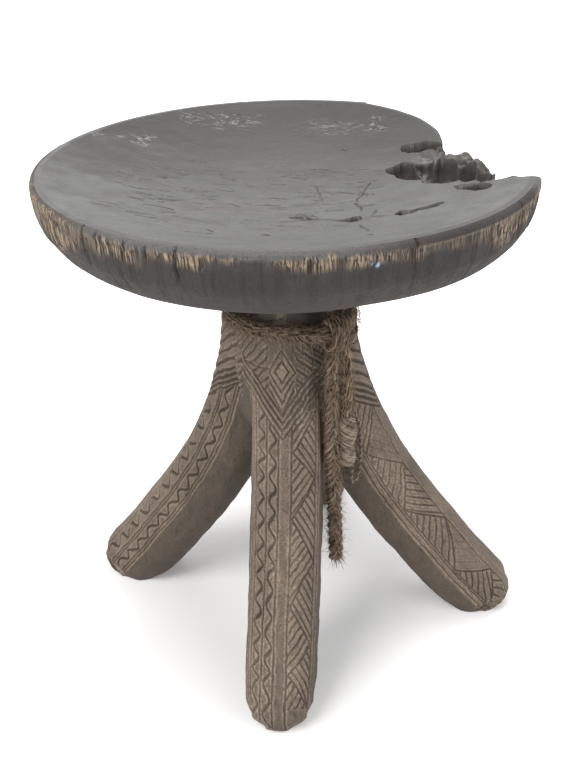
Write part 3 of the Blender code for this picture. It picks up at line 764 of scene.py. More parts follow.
def make_knob():
    """The bound end: fine threads wound at a slant over two lobes, and turns at its ends and its waist."""
    middle = np.array((*KNOB_STRAND_ROUTE[-1][:2], 0.0))
    share = np.linspace(0.02, 0.98, 90)
    strands = []
    for top, bottom, turns, threads, seed in (
        (KNOB_TOP, KNOB_WAIST, 0.9, 15, 5), (KNOB_WAIST, KNOB_BOTTOM, 0.7, 13, 6),
    ):
        random = np.random.default_rng(seed)
        height = top + (bottom - top) * share
        for hand, above in ((1, 0.0004), (-1, 0.0)):
            for index in range(threads):
                angle = 2 * np.pi * (hand * turns * share + index / threads)
                radius = knob_radius(height) + KNOB_LAYER + 0.0002 * np.sin(angle * 3 + index) + above
                thick = 0.00042 * random.uniform(0.8, 1.1)
                strands.append((middle + polar(radius, angle, height), thick, random.random()))
    height = np.linspace(KNOB_TOP, KNOB_BOTTOM, 60)
    strands.append((middle + joined(0.0, 0.0, height), knob_radius(height) + 0.0023, 0.2))
    angle = np.linspace(0, 2 * np.pi * 3, 70)
    lift = np.linspace(0.0012, -0.0012, 70)
    for centre, size in ((KNOB_TOP - 0.0008, 0.0044), (KNOB_WAIST, 0.0044), (KNOB_BOTTOM + 0.0010, 0.0038)):
        strands.append((middle + polar(size, angle, centre + lift), 0.0005, 0.05))
    knob = fibre_piece("bound_knob", strands, 6, material=BOUND_FIBRE)
    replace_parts(knob, "knob_core", "upper_whipping", "lower_whipping")
    return knob


def make_knob_strand(knob):
    """The second hanging strand, which ends in the knob."""
    route = smooth_route(into_hitch(KNOB_STRAND_ROUTE), 90)
    strands = []
    lines = plait(route, *route_frames(route), 0.0021, 0.0012, STRAND_PLAIT_PERIOD, 0.7)
    for index, line in enumerate(lines):
        strands += yarn(line, 0.0026, 0.0021, 3.5, 14, 0.00060, 90 + index)
    strand = fibre_piece("knob_strand_cord", strands, 5)
    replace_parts(strand, "knob_strand")
    stray = hairs(route, 0.0040, 90, 0.009, 0.00014, 15, 0.2) + matting(route, 0.0052, 260, 16)
    loose = fibre_piece("loose_strand_fibres", stray, 3)


def make_thin_loop():
    """The thin cord beside the knob, which ends in a loop."""
    route = smooth_route(THIN_LOOP_ROUTE, 120)
    strands = yarn(route, 0.00095, 0.0007, 16.0, 7, 0.00048, 21, 0.2)
    thin = fibre_piece("thin_fibre_loop", strands, 5, material=BOUND_FIBRE)
    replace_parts(thin, "thin_loop")
    stray = hairs(route, 0.0012, 46, 0.007, 0.00011, 25, 0.3)
    loose = fibre_piece("loose_loop_fibres", stray, 3, material=BOUND_FIBRE)


def loop_place(angle):
    """Centre of the ring of cord, which is pulled outwards at the hitch."""
    fall = (NECK_LOW - LOOP_HEIGHT) / HUB_DROP
    radius = NECK_RADIUS + (HUB_RADIUS - NECK_RADIUS) * fall + LOOP_DIAMETER / 2 + LOOP_SLACK
    pull = LOOP_PULL * np.maximum(0.0, np.cos(angle - HITCH_AZIMUTH)) ** 6
    return polar(radius + pull, angle, LOOP_HEIGHT)


def make_neck_ring(angle, route):
    """The plaited ring round the neck, with a whole number of turns of its plait."""
    length = route_length(route)
    period = length / round(length / RING_PLAIT_PERIOD)
    strands = []
    lines = plait(route, np.array((0, 0, 1.0)), polar(1.0, angle), 0.0029, 0.0012, period)
    for index, line in enumerate(lines):
        strands += yarn(line, 0.0026, 0.0021, 20.0, 15, 0.00060, 110 + index)
    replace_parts(fibre_piece("plaited_neck_ring", strands, 5, "stool"), "neck_loop")


def make_hitch():
    """The hitch: wraps side by side round the ring, which reach down over the ends of the hanging cords."""
    middle = loop_place(HITCH_AZIMUTH) - (0, 0, HITCH_DROP)
    outward = polar(1.0, HITCH_AZIMUTH)
    along = np.cross((0, 0, 1.0), outward)
    turn = np.linspace(-0.25, 1.75, 110)
    circle = 2 * np.pi * turn[:, None]
    spoke = outward * np.cos(circle) + np.array((0, 0, HITCH_STRETCH)) * np.sin(circle)
    random = np.random.default_rng(31)
    wraps, strands = [], []
    for index in range(HITCH_WRAPS):
        shift = HITCH_WRAP_START + HITCH_WRAP_STEP * index + 0.0010 * turn
        radius = HITCH_WRAP_RADIUS + random.uniform(-0.0006, 0.0005) + 0.0008 * np.sin(turn * 9 + index)
        wraps.append(middle + along * shift[:, None] + spoke * radius[:, None])
        strands += yarn(wraps[-1], 0.0016, 0.0012, 5.0, 9, 0.00050, 140 + index)
    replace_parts(fibre_piece("hitch_wraps", strands, 5, "stool"), "hitch")
    return wraps


def make_stray_fibres(route, wraps):
    """Stray fibres and matting on the ring and on the hitch."""
    stray = hairs(route[::3], 0.0052, 620, 0.011, 0.00014, 51, 0.25, 0.8)
    for seed, line in enumerate(wraps):
        stray += matting(line, 0.0016, 60, 200 + seed)
    fibre_piece("stray_ring_fibres", stray + matting(route[::2], 0.0062, 1500, 53), 3, "stool")


make_tail()
make_knob_strand(make_knob())
make_thin_loop()
RING_ANGLES = np.linspace(0, 2 * np.pi, RING_POINTS)
RING_ROUTE = loop_place(RING_ANGLES)
make_neck_ring(RING_ANGLES, RING_ROUTE)
make_stray_fibres(RING_ROUTE, make_hitch())

# the seat


def leaned(points):
    """The seat leans a little to the right, about the bottom of the neck."""
    x, y, z = np.moveaxis(points, -1, 0)
    z = z - NECK_LOW
    return joined(x * math.cos(SEAT_LEAN) + z * math.sin(SEAT_LEAN), y,
                  NECK_LOW - x * math.sin(SEAT_LEAN) + z * math.cos(SEAT_LEAN))


def azimuth_degrees(angle):
    return np.degrees(half_turn(angle))


def rotten_share(angle):
    """Which part of the worn edge has rotted: the rest of it is worn smooth."""
    degrees = azimuth_degrees(angle)
    return smooth_step(-8.0, -2.0, degrees) * smooth_step(38.0, 32.0, degrees)


def worn_reach(angle):
    """How far out the wood still reaches at an azimuth, as a share of the seat's radius."""
    share = np.interp(azimuth_degrees(angle), *zip(*WORN_EDGE_SHARES))
    place = polar(1.0, angle)
    notch = 0.016 * np.abs(rough(place, 0.10, 7, 3)) * rotten_share(angle)
    return share - (notch + 0.003 * np.abs(rough(place, 0.3, 9, 2))) * (share < 1.0)


# cracks in the sitting surface, in millimetres: their points and how strong they are
CRACKS = (
    ((-118.1, 16.2), (-101.6, 18.3), 0.35), ((-111.2, -24.1), (-99.5, -25.2), 0.40),
    ((-107.7, -23.8), (-91.4, -23.6), 0.35), ((-93.3, -42.7), (-83.6, -42.7), 0.50),
    ((-81.8, -38.8), (-72.0, -39.0), 0.60), ((-87.5, -58.5), (-75.8, -56.7), (-67.0, -59.5), 0.50),
    ((-91.0, -81.3), (-78.4, -81.7), 0.50), ((-86.7, -80.5), (-74.2, -82.8), 0.45),
    ((-75.7, -15.0), (-56.2, -9.0), 0.80), ((-44.7, -29.9), (-33.3, -30.9), (-26.9, -35.0), 0.90),
    ((-14.8, -11.3), (-0.8, -9.0), 0.80), ((8.2, -23.6), (32.5, -23.4), (48.6, -17.3), 1.00),
    ((10.6, -3.8), (19.8, -2.9), 0.90), ((9.9, 19.8), (18.6, 20.7), 0.60),
    ((8.3, 46.0), (23.0, 42.7), 0.50), ((19.3, 48.6), (37.9, 43.4), 0.50),
    ((24.4, 28.6), (41.7, 33.1), 1.00), ((35.5, 4.7), (48.7, -0.2), (55.4, 4.5), 0.70),
    ((58.7, 19.8), (55.6, 1.4), (53.4, -6.9), (51.1, -22.5), (55.2, -33.0), (56.5, -42.3), 0.80),
    ((19.6, 18.6), (24.6, -0.9), (27.5, -14.6), 0.60), ((52.6, 4.2), (59.6, -6.2), (63.0, -4.8), 0.60),
    ((66.5, -43.8), (64.6, -56.1), 0.80), ((-17.3, -74.5), (-13.6, -73.6), 2.30),
    ((-10.6, -95.7), (-7.0, -94.9), (2.7, -91.8), 0.90), ((-34.4, -103.5), (-30.0, -110.7), 0.90),
    ((1.8, -109.5), (5.0, -110.4), 2.00), ((7.2, -70.2), (17.1, -65.3), 0.50),
    ((14.7, -47.2), (23.1, -49.3), 2.20), ((16.1, -63.1), (26.8, -59.1), 3.30),
    ((42.5, -64.4), (55.4, -64.1), 3.70), ((28.5, -61.9), (41.5, -60.9), 0.60),
    ((31.1, 85.8), (35.9, 85.4), 0.80), ((58.6, -82.4), (66.1, -104.8), 0.60),
    ((-26.9, 50.9), (-12.1, 55.0), 0.50), ((-45.2, -116.0), (-29.2, -115.5), 0.50),
    ((-0.1, 34.5), (10.8, 30.9), 0.50), ((66.8, -116.7), (68.0, -118.1), 1.00),
)
# how far from a crack its field still rises, in millimetres, and how many faint ones there are
CRACK_HALF_WIDTH = 3.2
FAINT_CRACKS = 130
# the edge is worn where less than this share of the radius is left
BROKEN_BELOW = 0.995
# hollows less deep than this share of the rim's thickness are old scars
SCAR_BELOW = 0.25
# bruised patches of the sitting surface, in millimetres: middle, half length, half width, strength
BRUISES = (
    (-157.0, 59.0, 6.0, 7.0, 0.7), (-124.0, 69.0, 10.0, 9.0, 1.0), (-137.0, 62.0, 6.0, 8.0, 0.5),
    (-93.0, 123.0, 13.0, 9.0, 0.5), (-58.0, 128.0, 19.0, 15.0, 0.7), (14.0, 127.0, 22.0, 11.0, 0.4),
    (57.0, 126.0, 9.0, 10.0, 1.0),
)


def line_share(x, y, points, width):
    """How near each place is to a broken line: 1 on it, and 0 from its width outwards."""
    share = np.zeros_like(x)
    for (start_x, start_y), (end_x, end_y) in zip(points, points[1:]):
        way_x, way_y = end_x - start_x, end_y - start_y
        along = np.clip(((x - start_x) * way_x + (y - start_y) * way_y) / (way_x**2 + way_y**2), 0, 1)
        gap = np.hypot(x - start_x - along * way_x, y - start_y - along * way_y)
        share = np.maximum(share, nearness(gap, width))
    return share


def crack_share(ground):
    """Cracks that run along the grain of the sitting surface, the drawn ones and many faint short ones."""
    x = ground[..., 0] * 1000 + 0.9 * rough(ground, 0.006, 71, 2)
    y = ground[..., 1] * 1000 + 1.3 * rough(ground, 0.009, 72, 3)
    ragged = 0.85 + 0.60 * noise(ground, 0.0035, 74)
    share = np.zeros_like(x)
    for *points, strength in CRACKS:
        near = line_share(x, y, points, CRACK_HALF_WIDTH)
        share = np.maximum(share, near * (near > 0) + 0.17 * (strength * ragged - 0.9) * (near > 0.3))
    random = np.random.default_rng(19)
    for _ in range(FAINT_CRACKS):
        start_x, start_y = random.uniform(-125, 70), random.uniform(-95, 50)
        long, slope = random.uniform(3, 15), random.uniform(-0.06, 0.16)
        points = ((start_x, start_y), (start_x + long, start_y + slope * long))
        share = np.maximum(share, line_share(x, y, points, CRACK_HALF_WIDTH) * random.uniform(0.80, 0.90))
    return share


def bruise_share(ground):
    """How bruised the sitting surface is, in patches with ragged outlines."""
    x, y = ground[..., 0] * 1000, ground[..., 1] * 1000
    ragged = 0.55 * rough(ground, (0.010, 0.006, 1), 83, 2)
    share = np.zeros_like(x)
    for middle_x, middle_y, half_x, half_y, strength in BRUISES:
        far = np.hypot((x - middle_x) / half_x, (y - middle_y) / half_y)
        share = np.maximum(share, strength * smooth_step(1.5, 0.3, far + ragged))
    return share


def hollow_marks(ground):
    """How deep the hollows are at each place, and how rotten and how dark they make it."""
    warp = ground + 0.0055 * joined(noise(ground, 0.014, 11), noise(ground, 0.014, 12))
    warp = warp + 0.0016 * joined(noise(ground, 0.0042, 13), noise(ground, 0.0042, 14))
    depth, rot, dark = (np.zeros(ground.shape[:-1]) for _ in range(3))
    for degrees, direction, middle, length, width, deep in HOLLOW_SHARES:
        turn = math.radians(direction)
        x, y, _ = np.moveaxis(warp - polar(SEAT_RADIUS * middle, math.radians(degrees)), -1, 0)
        along = (x * math.cos(turn) + y * math.sin(turn)) / (SEAT_RADIUS * length)
        across = (y * math.cos(turn) - x * math.sin(turn)) / (SEAT_RADIUS * width)
        inside = 1 - along**2 - across**2
        depth = np.maximum(depth, np.clip(inside, 0, 1) ** 0.35 * SIDE_DROP * deep * 0.93)
        # the shallow ones are dark old scars, and the deep ones have rotten wood round them
        if deep < SCAR_BELOW:
            dark = np.maximum(dark, smooth_step(-0.25, 0.45, inside + 0.35 * noise(ground, 0.0030, 15)))
        else:
            rot = np.maximum(rot, smooth_step(-0.30, 0.15, inside))
    return depth, rot, dark


def dish_height(points):
    """Height of the sitting surface at points given by x and y, and its marks there: how deep it is hollowed
    and how rotten, dark, cracked, bruised, chipped and stained it is."""
    x, y = points[..., 0], points[..., 1]
    ground = joined(x, y)
    out = np.hypot(x, y)
    angle = np.arctan2(y, x)
    reach = worn_reach(angle)
    edge = reach * SEAT_RADIUS - out
    broken = reach < BROKEN_BELOW
    bad = rotten_share(angle) * broken
    worn = smooth_step(0.036, 0.010, edge) * bad
    depth, rot, dark = hollow_marks(ground)
    radius = out / (SEAT_RADIUS - 2 * LIP_RADIUS)
    height = STOOL_HEIGHT - DISH_DEPTH * (1 - radius**2)
    height = height + 0.0006 * rough(ground, (0.06, 0.035, 1), 3, 3) * smooth_step(1.0, 0.93, radius)
    floor_bumps = 0.0030 * rough(ground, (0.013, 0.006, 1), 17, 3) * smooth_step(0.0, 0.006, depth)
    lumps = 0.0066 * rough(ground, (0.024, 0.0085, 1), 27, 3)
    height = height - depth + floor_bumps + worn * (lumps - 0.0010) * (1 - smooth_step(0.0, 0.008, depth))
    height = height - worn * 0.0060 * smooth_step(0.006, 0.0, edge)
    height = height - broken * (1 - bad) * 0.0018 * np.clip(1 - edge / 0.006, 0, 1) ** 2
    crack = crack_share(ground)
    bruise = bruise_share(ground)
    bits = smooth_step(0.30, 0.60, rough(ground, (0.0046, 0.0028, 1), 91, 2)) * bruise
    stain = nearness(np.hypot((x + 0.0295) / 0.050, (y + 0.040 - 0.12 * x) / 0.0105), 1.0)
    stain = stain * (0.6 + 0.4 * noise(ground, (0.02, 0.005, 1), 93))
    height = height - 0.0010 * smooth_step(0.70, 0.95, crack) - 0.0008 * bits
    return height, {"depth": depth, "rot": np.clip(np.maximum(rot, worn), 0, 1), "dark": dark, "crack": crack,
                    "bruise": bruise, "bits": bits, "stain": stain}


DISH_COUNT = 440


def make_dish():
    """The sitting surface, as a square grid drawn into a round one."""
    line = np.linspace(-1, 1, DISH_COUNT)
    u, v = np.meshgrid(line, line, indexing="ij")
    x = u * np.sqrt(1 - v**2 / 2)
    y = v * np.sqrt(1 - u**2 / 2)
    reach = np.hypot(x, y)
    angle = np.arctan2(y, x)
    limit = np.minimum(worn_reach(angle) * SEAT_RADIUS, LIP_CENTRE)
    radius = reach * LIP_CENTRE - (LIP_CENTRE - limit) * np.clip((reach - 0.35) / 0.65, 0, 1)
    points = polar(radius, angle)
    height, marks = dish_height(points)
    height = np.minimum(height, STOOL_HEIGHT)
    points[..., 2] = height
    steep = np.hypot(*np.gradient(height)) / (2 * SEAT_RADIUS / DISH_COUNT)
    # painted shade: the rotten wood is darkened where it lies lower than its surroundings, and the steep
    # walls of the hollows are darkened too; the chipped bits and the old scars are really dark
    deep = box_blur(height, 4) - height
    wide = box_blur(height, 12) - height
    rot = marks["rot"]
    painted_wall_shade = 0.85 * np.clip(steep / 1.6 - 0.30, 0, 1) * smooth_step(0.001, 0.004, marks["depth"] + 0.004 * rot)
    shade_and_dark_marks = 0.85 * marks["bits"] + rot * np.clip(deep / 0.0018, 0, 1) + painted_wall_shade + 0.75 * marks["dark"]
    shade_and_dark_marks = np.clip(np.clip(shade_and_dark_marks, 0, 1) + 0.80 * rot * np.clip(wide / 0.0035 - 0.1, 0, 1), 0, 1)
    rot = rot * (1 - 0.75 * np.clip(-wide / 0.0022, 0, 1))
    wear = rot * np.clip(-deep / 0.0014, 0, 1) * 0.25
    # painted shade: the back and the left of the dish are darkened, standing in for the light and the
    # reflection they lack; rotten wood is left out
    back = smooth_step(0.10, 0.95, reach) * smooth_step(-0.2, 0.7, np.sin(angle - 0.30))
    left = smooth_step(0.15, 0.90, reach) * smooth_step(0.1, 0.9, -np.cos(angle))
    soot_and_shade = (1.3 * back + 0.3 * left * (1 - back)) * (1 - rot)
    fields = {"shade_and_dark_marks": shade_and_dark_marks, "wear": wear, "rot": rot * 0.85, "soot_and_shade": soot_and_shade}
    fields.update((label, marks[label]) for label in ("stain", "bruise", "crack"))
    return wood_piece("dished_seat", leaned(points), grid_faces(DISH_COUNT, DISH_COUNT), fields, SEAT_WOOD)


def side_profile(count):
    """Half section from the lip over the rim down to the neck's fillet: radius and height, evenly spaced."""
    lip = np.linspace(np.pi / 2, 0, 8)
    wall = np.linspace(0, np.pi / 2, 90)[1:]
    fillet = np.linspace(np.pi / 2, 0, 30)[1:]
    radii = (LIP_CENTRE + LIP_RADIUS * np.cos(lip),
             SEAT_RADIUS - SIDE_INSET * (1 - np.cos(wall) ** (2 / SIDE_POWER)),
             NECK_RADIUS + FILLET_RADIUS * (1 - np.cos(fillet)))
    heights = (STOOL_HEIGHT - LIP_RADIUS * (1 - np.sin(lip)),
               STOOL_HEIGHT - LIP_RADIUS - (SIDE_DROP - LIP_RADIUS) * np.sin(wall) ** (2 / SIDE_POWER),
               NECK_TOP + FILLET_RADIUS * np.sin(fillet))
    return evenly_spaced(np.column_stack([np.concatenate(radii), np.concatenate(heights)]), count)


# how finely the rim is divided, down it and round it
RIM_ROWS = 138
RIM_COLUMNS = 1300
DEGREES_PER_RADIAN = 57.3
# clusters of splits: middle and half width in degrees
SPLIT_CLUSTERS = ((-102.5, 5.0), (-93.0, 3.5), (-79.0, 4.0), (-66.0, 4.5), (-116.0, 5.0))
# cracks of the rim: azimuth in degrees, then upper end, lower end and half width in metres
RIM_CRACKS = (
    (-102.7, 0.001, 0.026, 0.0009), (-114.0, 0.003, 0.018, 0.0008), (-109.0, 0.004, 0.016, 0.0008),
    (-121.0, 0.003, 0.013, 0.0008), (-125.5, 0.000, 0.022, 0.0009), (-57.0, 0.000, 0.011, 0.0009),
    (-26.3, 0.001, 0.030, 0.0009), (-139.0, 0.003, 0.016, 0.0008), (-150.0, 0.008, 0.024, 0.0008),
    (172.0, 0.002, 0.028, 0.0011), (128.0, 0.002, 0.022, 0.0011), (104.0, 0.002, 0.018, 0.0010),
)
# flecks of paint on the rim: azimuth in degrees, then way down the rim, half width and half height in metres
PAINT_FLECKS = ((-65.0, 0.0140, 0.0014, 0.0016), (-66.2, 0.0128, 0.0007, 0.0013))


def rim_cracks(around, turn, down):
    """How deep the cracks of the rim are, as a share."""
    crack = np.zeros_like(down)
    for middle, start, end, wide in RIM_CRACKS:
        centre = math.radians(middle) + 0.005 * noise(around, (1, 0.007, 1), int(abs(middle)))
        gap = np.abs(half_turn(turn - centre)) * SEAT_RADIUS
        ends = smooth_step(start - 0.001, start + 0.001, down) * smooth_step(end, end - 0.006, down)
        crack = np.maximum(crack, np.clip(1.2 - gap / wide, 0, 1) * ends)
    return crack


def break_rim(points, angle, radius, profile):
    """Moves the points of the worn edge to a broken wall at its outline, and tells which ones moved."""
    limit = worn_reach(angle) * SEAT_RADIUS
    gone = (limit < LIP_CENTRE) & (radius > limit)
    bad = rotten_share(angle)
    edge_height = dish_height(polar(limit, angle))[0]
    wall = np.zeros_like(radius)
    for column in np.nonzero(gone.any(axis=0))[0]:
        keep = np.nonzero(~gone[:, column])[0]
        last = keep[keep > 20][0]
        share = np.linspace(0, 1, last + 1)
        out = limit[column] - 0.0055 * (1 - np.abs(2 * share - 1)) * bad[column]
        level = edge_height[column] + (profile[last, 1] - edge_height[column]) * share
        wall[:last + 1, column] = 1
        points[:last + 1, column] = polar(out, angle[column], level)
    bite = wall * 0.0026 * np.abs(rough(points, (0.006, 0.006, 0.014), 67, 3)) * (0.25 + 0.75 * bad)
    bite[0] = 0
    return points - polar(1.0, angle) * bite[..., None], wall


def make_rim():
    """The thick rim and the underside of the seat, with splits under the lip and a broken wall."""
    profile, along = side_profile(RIM_ROWS)
    angle = np.linspace(0, 2 * np.pi, RIM_COLUMNS, endpoint=False)
    turn, down = np.meshgrid(angle, along)
    radius, height = (np.repeat(column[:, None], RIM_COLUMNS, axis=1) for column in profile.T)
    degrees = azimuth_degrees(turn)
    place = polar(radius, turn, height)
    around = joined(turn * SEAT_RADIUS, down)
    # pale splits in clusters just under the lip, all over the left side, and a smooth scraped band below them
    left = smooth_step(-112.0, -140.0, degrees) + smooth_step(60.0, 120.0, degrees)
    right = smooth_step(-48.0, -36.0, degrees) * smooth_step(-8.0, -18.0, degrees)
    clusters = smooth_step(0.05, 0.55, noise(around, (0.030, 1, 1), 304) + 0.10)
    for middle, half in SPLIT_CLUSTERS:
        clusters = np.maximum(clusters, smooth_step(half + 2.0, half - 2.0, np.abs(degrees - middle)))
    reach = 0.014 + 0.006 * rough(around, (0.016, 1, 1), 307, 2) + 0.020 * left + 0.010 * right
    band = smooth_step(reach, 0.60 * reach, down)
    split = np.clip(band * (0.10 + 0.90 * np.maximum(clusters, np.maximum(left * 0.85, right * 0.8))), 0, 1)
    split = np.clip(split * (0.85 + 0.45 * noise(around, (0.010, 0.006, 1), 309)), 0, 1)
    upper = smooth_step(0.050, 0.034, down + 0.006 * noise(around, (0.02, 0.02, 1), 41))
    upper = upper * smooth_step(0.004, 0.009, down)
    fine = np.clip(rough(around, (0.0028, 0.022, 1), 43, 2), 0, 1)
    lines = smooth_step(0.22, 0.60, noise(around, (0.0019, 0.020, 1), 45)) * smooth_step(0.05, 0.35, split)
    lines = lines * smooth_step(0.0048, 0.0068, down)
    crack = rim_cracks(around, turn, down)
    swell = 0.0007 * (1 + rough(around, (0.07, 0.04, 1), 59, 2))
    wavy = smooth_step(100.0, 125.0, degrees) * smooth_step(180.0, 165.0, degrees)
    wavy = wavy * 0.0016 * (1 + rough(around, (0.020, 1, 1), 62, 2)) * smooth_step(0.030, 0.008, down)
    scrape = 0.00025 * (noise(around, (0.040, 0.0022, 1), 47) + 1) * smooth_step(0.001, 0.006, down)
    depth = upper * (0.0007 * fine + 0.0004 * np.abs(rough(around, 0.006, 53, 2))) + (1 - upper) * scrape
    depth = depth + 0.0004 * lines + 0.0020 * crack + swell * smooth_step(0.002, 0.012, down) + wavy
    # a shallow step where the scraped band begins
    depth = depth + 0.0007 * smooth_step(0.030, 0.034, down + 0.003 * noise(around, (0.05, 1, 1), 61))
    points, wall = break_rim(place - surface_normals(place) * depth[..., None], angle, radius, profile)
    rot = box_blur(wall * rotten_share(angle), 3, wrap=True)
    whole = 1 - box_blur(wall, 2, wrap=True)
    dark_lip = smooth_step(-75.0, -55.0, degrees) * smooth_step(-10.0, -20.0, degrees)
    lip = smooth_step(0.0075, 0.0060, down) * dark_lip
    start = smooth_step(0.0045, 0.0065, down + 0.0015 * noise(around, (0.004, 1, 1), 99) + 0.0035 * left)
    edge_line = smooth_step(-70.0, -50.0, degrees) * smooth_step(0, -20, degrees)
    edge_line = edge_line * nearness(down - 0.0068, 0.0009)
    middle_band = smooth_step(0.010, 0.016, down) * smooth_step(0.034, 0.026, down)
    paint = np.zeros_like(depth)
    for middle, low, half_wide, half_high in PAINT_FLECKS:
        across = (degrees - middle) / DEGREES_PER_RADIAN * SEAT_RADIUS
        far = np.hypot(across / half_wide, (down - low) / half_high)
        paint = np.maximum(paint, smooth_step(1.15, 0.75, far + 0.25 * noise(around, 0.0016, 97)))
    fields = {
        "shade_and_dark_marks": np.clip(crack + 0.75 * lines + 0.25 * upper * fine, 0, 1) * (1 - rot),
        "wear": 0.8 * edge_line * whole,
        "rot": rot * 0.9,
        "split": split * whole * start * (1 - 0.8 * lip),
        "soot_and_shade": np.clip(0.55 * lip + 0.62 * middle_band * (1 - 0.6 * left), 0, 1) * whole,
        "paint": paint * whole,
        "polish": smooth_step(0.0085, 0.0055, down) * (1 - dark_lip) * (1 - left) * whole,
    }
    faces = grid_faces(RIM_ROWS, RIM_COLUMNS, wrap=True, flip=True)
    return wood_piece("weathered_rim", leaned(points), faces, fields, RIM_WOOD)


def nearest_leg(turn):
    """The nearest leg at an azimuth, and how far away its middle is, in radians."""
    away = np.stack([half_turn(turn - math.radians(degrees)) for _, degrees, *_ in LEGS])
    index = np.argmin(np.abs(away), axis=0)
    return index, np.take_along_axis(away, index[None], axis=0)[0]


NECK_ROWS = 44
NECK_COLUMNS = 360


def make_neck():
    """The short neck, with a faceted crest that rises over each leg."""
    angle = np.linspace(0, 2 * np.pi, NECK_COLUMNS, endpoint=False)
    turn, level = np.meshgrid(angle, np.linspace(NECK_TOP + 0.010, LEG_TOP + 0.002, NECK_ROWS))
    cone = NECK_RADIUS + (HUB_RADIUS - NECK_RADIUS) * np.clip((NECK_LOW - level) / HUB_DROP, 0, 1)
    above = np.clip((level - NECK_TOP) / FILLET_RADIUS, 0, 1)
    radius = np.where(level > NECK_TOP, NECK_RADIUS + FILLET_RADIUS * (1 - np.sqrt(1 - above**2)), cone)
    away = np.abs(nearest_leg(turn)[1])
    low = smooth_step(NECK_TOP + 0.004, LEG_TOP + 0.010, level)
    radius = radius + 0.0032 * low * nearness(away, 0.42) - 0.0020 * low * smooth_step(0.40, 0.62, away)
    steps = np.abs(((level + 0.35 * NECK_RADIUS * away) / 0.0075) % 1 - 0.5) * 2
    steps = smooth_step(0.75, 1.0, steps) * low
    depth = 0.0006 * (1 + rough(polar(radius, turn, level), (0.012, 0.012, 0.02), 71, 3)) + 0.0007 * steps
    # painted shade in the steps of the crest and in the recesses between the legs
    shade_and_dark_marks = np.clip(0.7 * steps + smooth_step(0.40, 0.60, away) * low * 0.6, 0, 1)
    wear = 0.8 * smooth_step(0.16, 0.03, away) * low
    # painted shade: darker towards the top of the neck, under the seat
    soot_and_shade = 0.35 * smooth_step(NECK_TOP - 0.004, NECK_TOP + 0.006, level)
    fields = {"shade_and_dark_marks": shade_and_dark_marks, "wear": wear, "rot": 0 * shade_and_dark_marks, "soot_and_shade": soot_and_shade}
    faces = grid_faces(NECK_ROWS, NECK_COLUMNS, wrap=True, flip=True)
    return wood_piece("short_neck", leaned(polar(radius - depth, turn, level)), faces, fields, NECK_WOOD)


# the legs and their carving, in millimetres

# an automatic handle is as long as the way to the next point, divided by this
HANDLE_DIVISOR = 2.5614
# how far round from the crown of a leg its finely divided outer face reaches, in metres
FACE_REACH = 0.052
LINE_STEPS = 40
ZIGZAG_REACH_SHARE = 0.68
GROOVE_HALF_WIDTH = 1.15


def bezier_line(reach_share):
    """The centre line of a leg as radius and height, its thickness, and the way down it from the top."""
    reaches, heights, thick = np.array(LEG_LINE_SHARES).T
    points = np.column_stack([LEG_REACH * reach_share * reaches, LEG_TOP * heights])
    before = np.vstack([2 * points[0] - points[1], points[:-1]])
    after = np.vstack([points[1:], 2 * points[-1] - points[-2]])
    to_point, from_point = points - before, after - points
    first = np.linalg.norm(to_point, axis=1, keepdims=True)
    second = np.linalg.norm(from_point, axis=1, keepdims=True)
    way = unit(to_point / first + from_point / second) / HANDLE_DIVISOR
    left, right = points - way * first, points + way * second
    line, width = [], []
    for index in range(len(points) - 1):
        for t in np.linspace(0, 1, LINE_STEPS, endpoint=False):
            line.append((1 - t) ** 3 * points[index] + 3 * (1 - t) ** 2 * t * right[index]
                        + 3 * (1 - t) * t**2 * left[index + 1] + t**3 * points[index + 1])
            ease = smooth_step(0, 1, t)
            width.append(thick[index] * (1 - ease) + thick[index + 1] * ease)
    line, width = np.array(line + [points[-1]]), np.array(width + [thick[-1]])
    steps = lengths_along(line)
    return line, width, steps - np.interp(-LEG_TOP, -line[:, 1], steps)


def leg_section(count_out, count_in):
    """Places round a leg's section, close together on its carved face: across, outward and arc length."""
    angle = np.linspace(-np.pi, np.pi, 2880)
    across, outward = np.sin(angle), np.cos(angle)
    size = (np.abs(across) ** SECTION_POWER + np.abs(outward) ** SECTION_POWER) ** (-1 / SECTION_POWER)
    across, outward = LEG_WIDTH / 2 * across * size, LEG_DEPTH / 2 * outward * size
    arc = lengths_along(np.column_stack([across, outward]))
    half = arc[-1] / 2
    arc = arc - half
    outer = np.linspace(-FACE_REACH, FACE_REACH, count_out)
    inner = np.linspace(FACE_REACH, 2 * half - FACE_REACH, count_in + 2)[1:-1]
    wanted = np.concatenate([outer, np.where(inner > half, inner - 2 * half, inner)])
    return np.interp(wanted, arc, across), np.interp(wanted, arc, outward), wanted


def groove(distance, half_width, depth, power=1.0):
    return depth * nearness(distance, half_width) ** power


def zigzag_cut(s, w, low, high, period, start):
    """A worn zigzag between two lines: its strokes that rise to the right are wide and shaped like leaves."""
    part = ((s - start) / period) % 1
    middle, half = (low + high) / 2, ZIGZAG_REACH_SHARE * (high - low) / 2
    sharp = 1 - 2 * np.abs(2 * part - 1)
    swing = half * (0.35 * sharp - 0.65 * np.cos(2 * np.pi * part))
    steep = half / period * (1.4 + 4.1 * np.abs(np.sin(2 * np.pi * part)))
    gap = np.abs(w - middle - swing) / np.hypot(1, steep)
    leaf = np.sin(np.pi * np.clip(2 * part - 1, 0, 1))
    return (groove(gap, 1.05 + 0.95 * leaf, 1.5, 0.9) + groove(gap, 4.0, 0.35)) * (w > low) * (w < high)


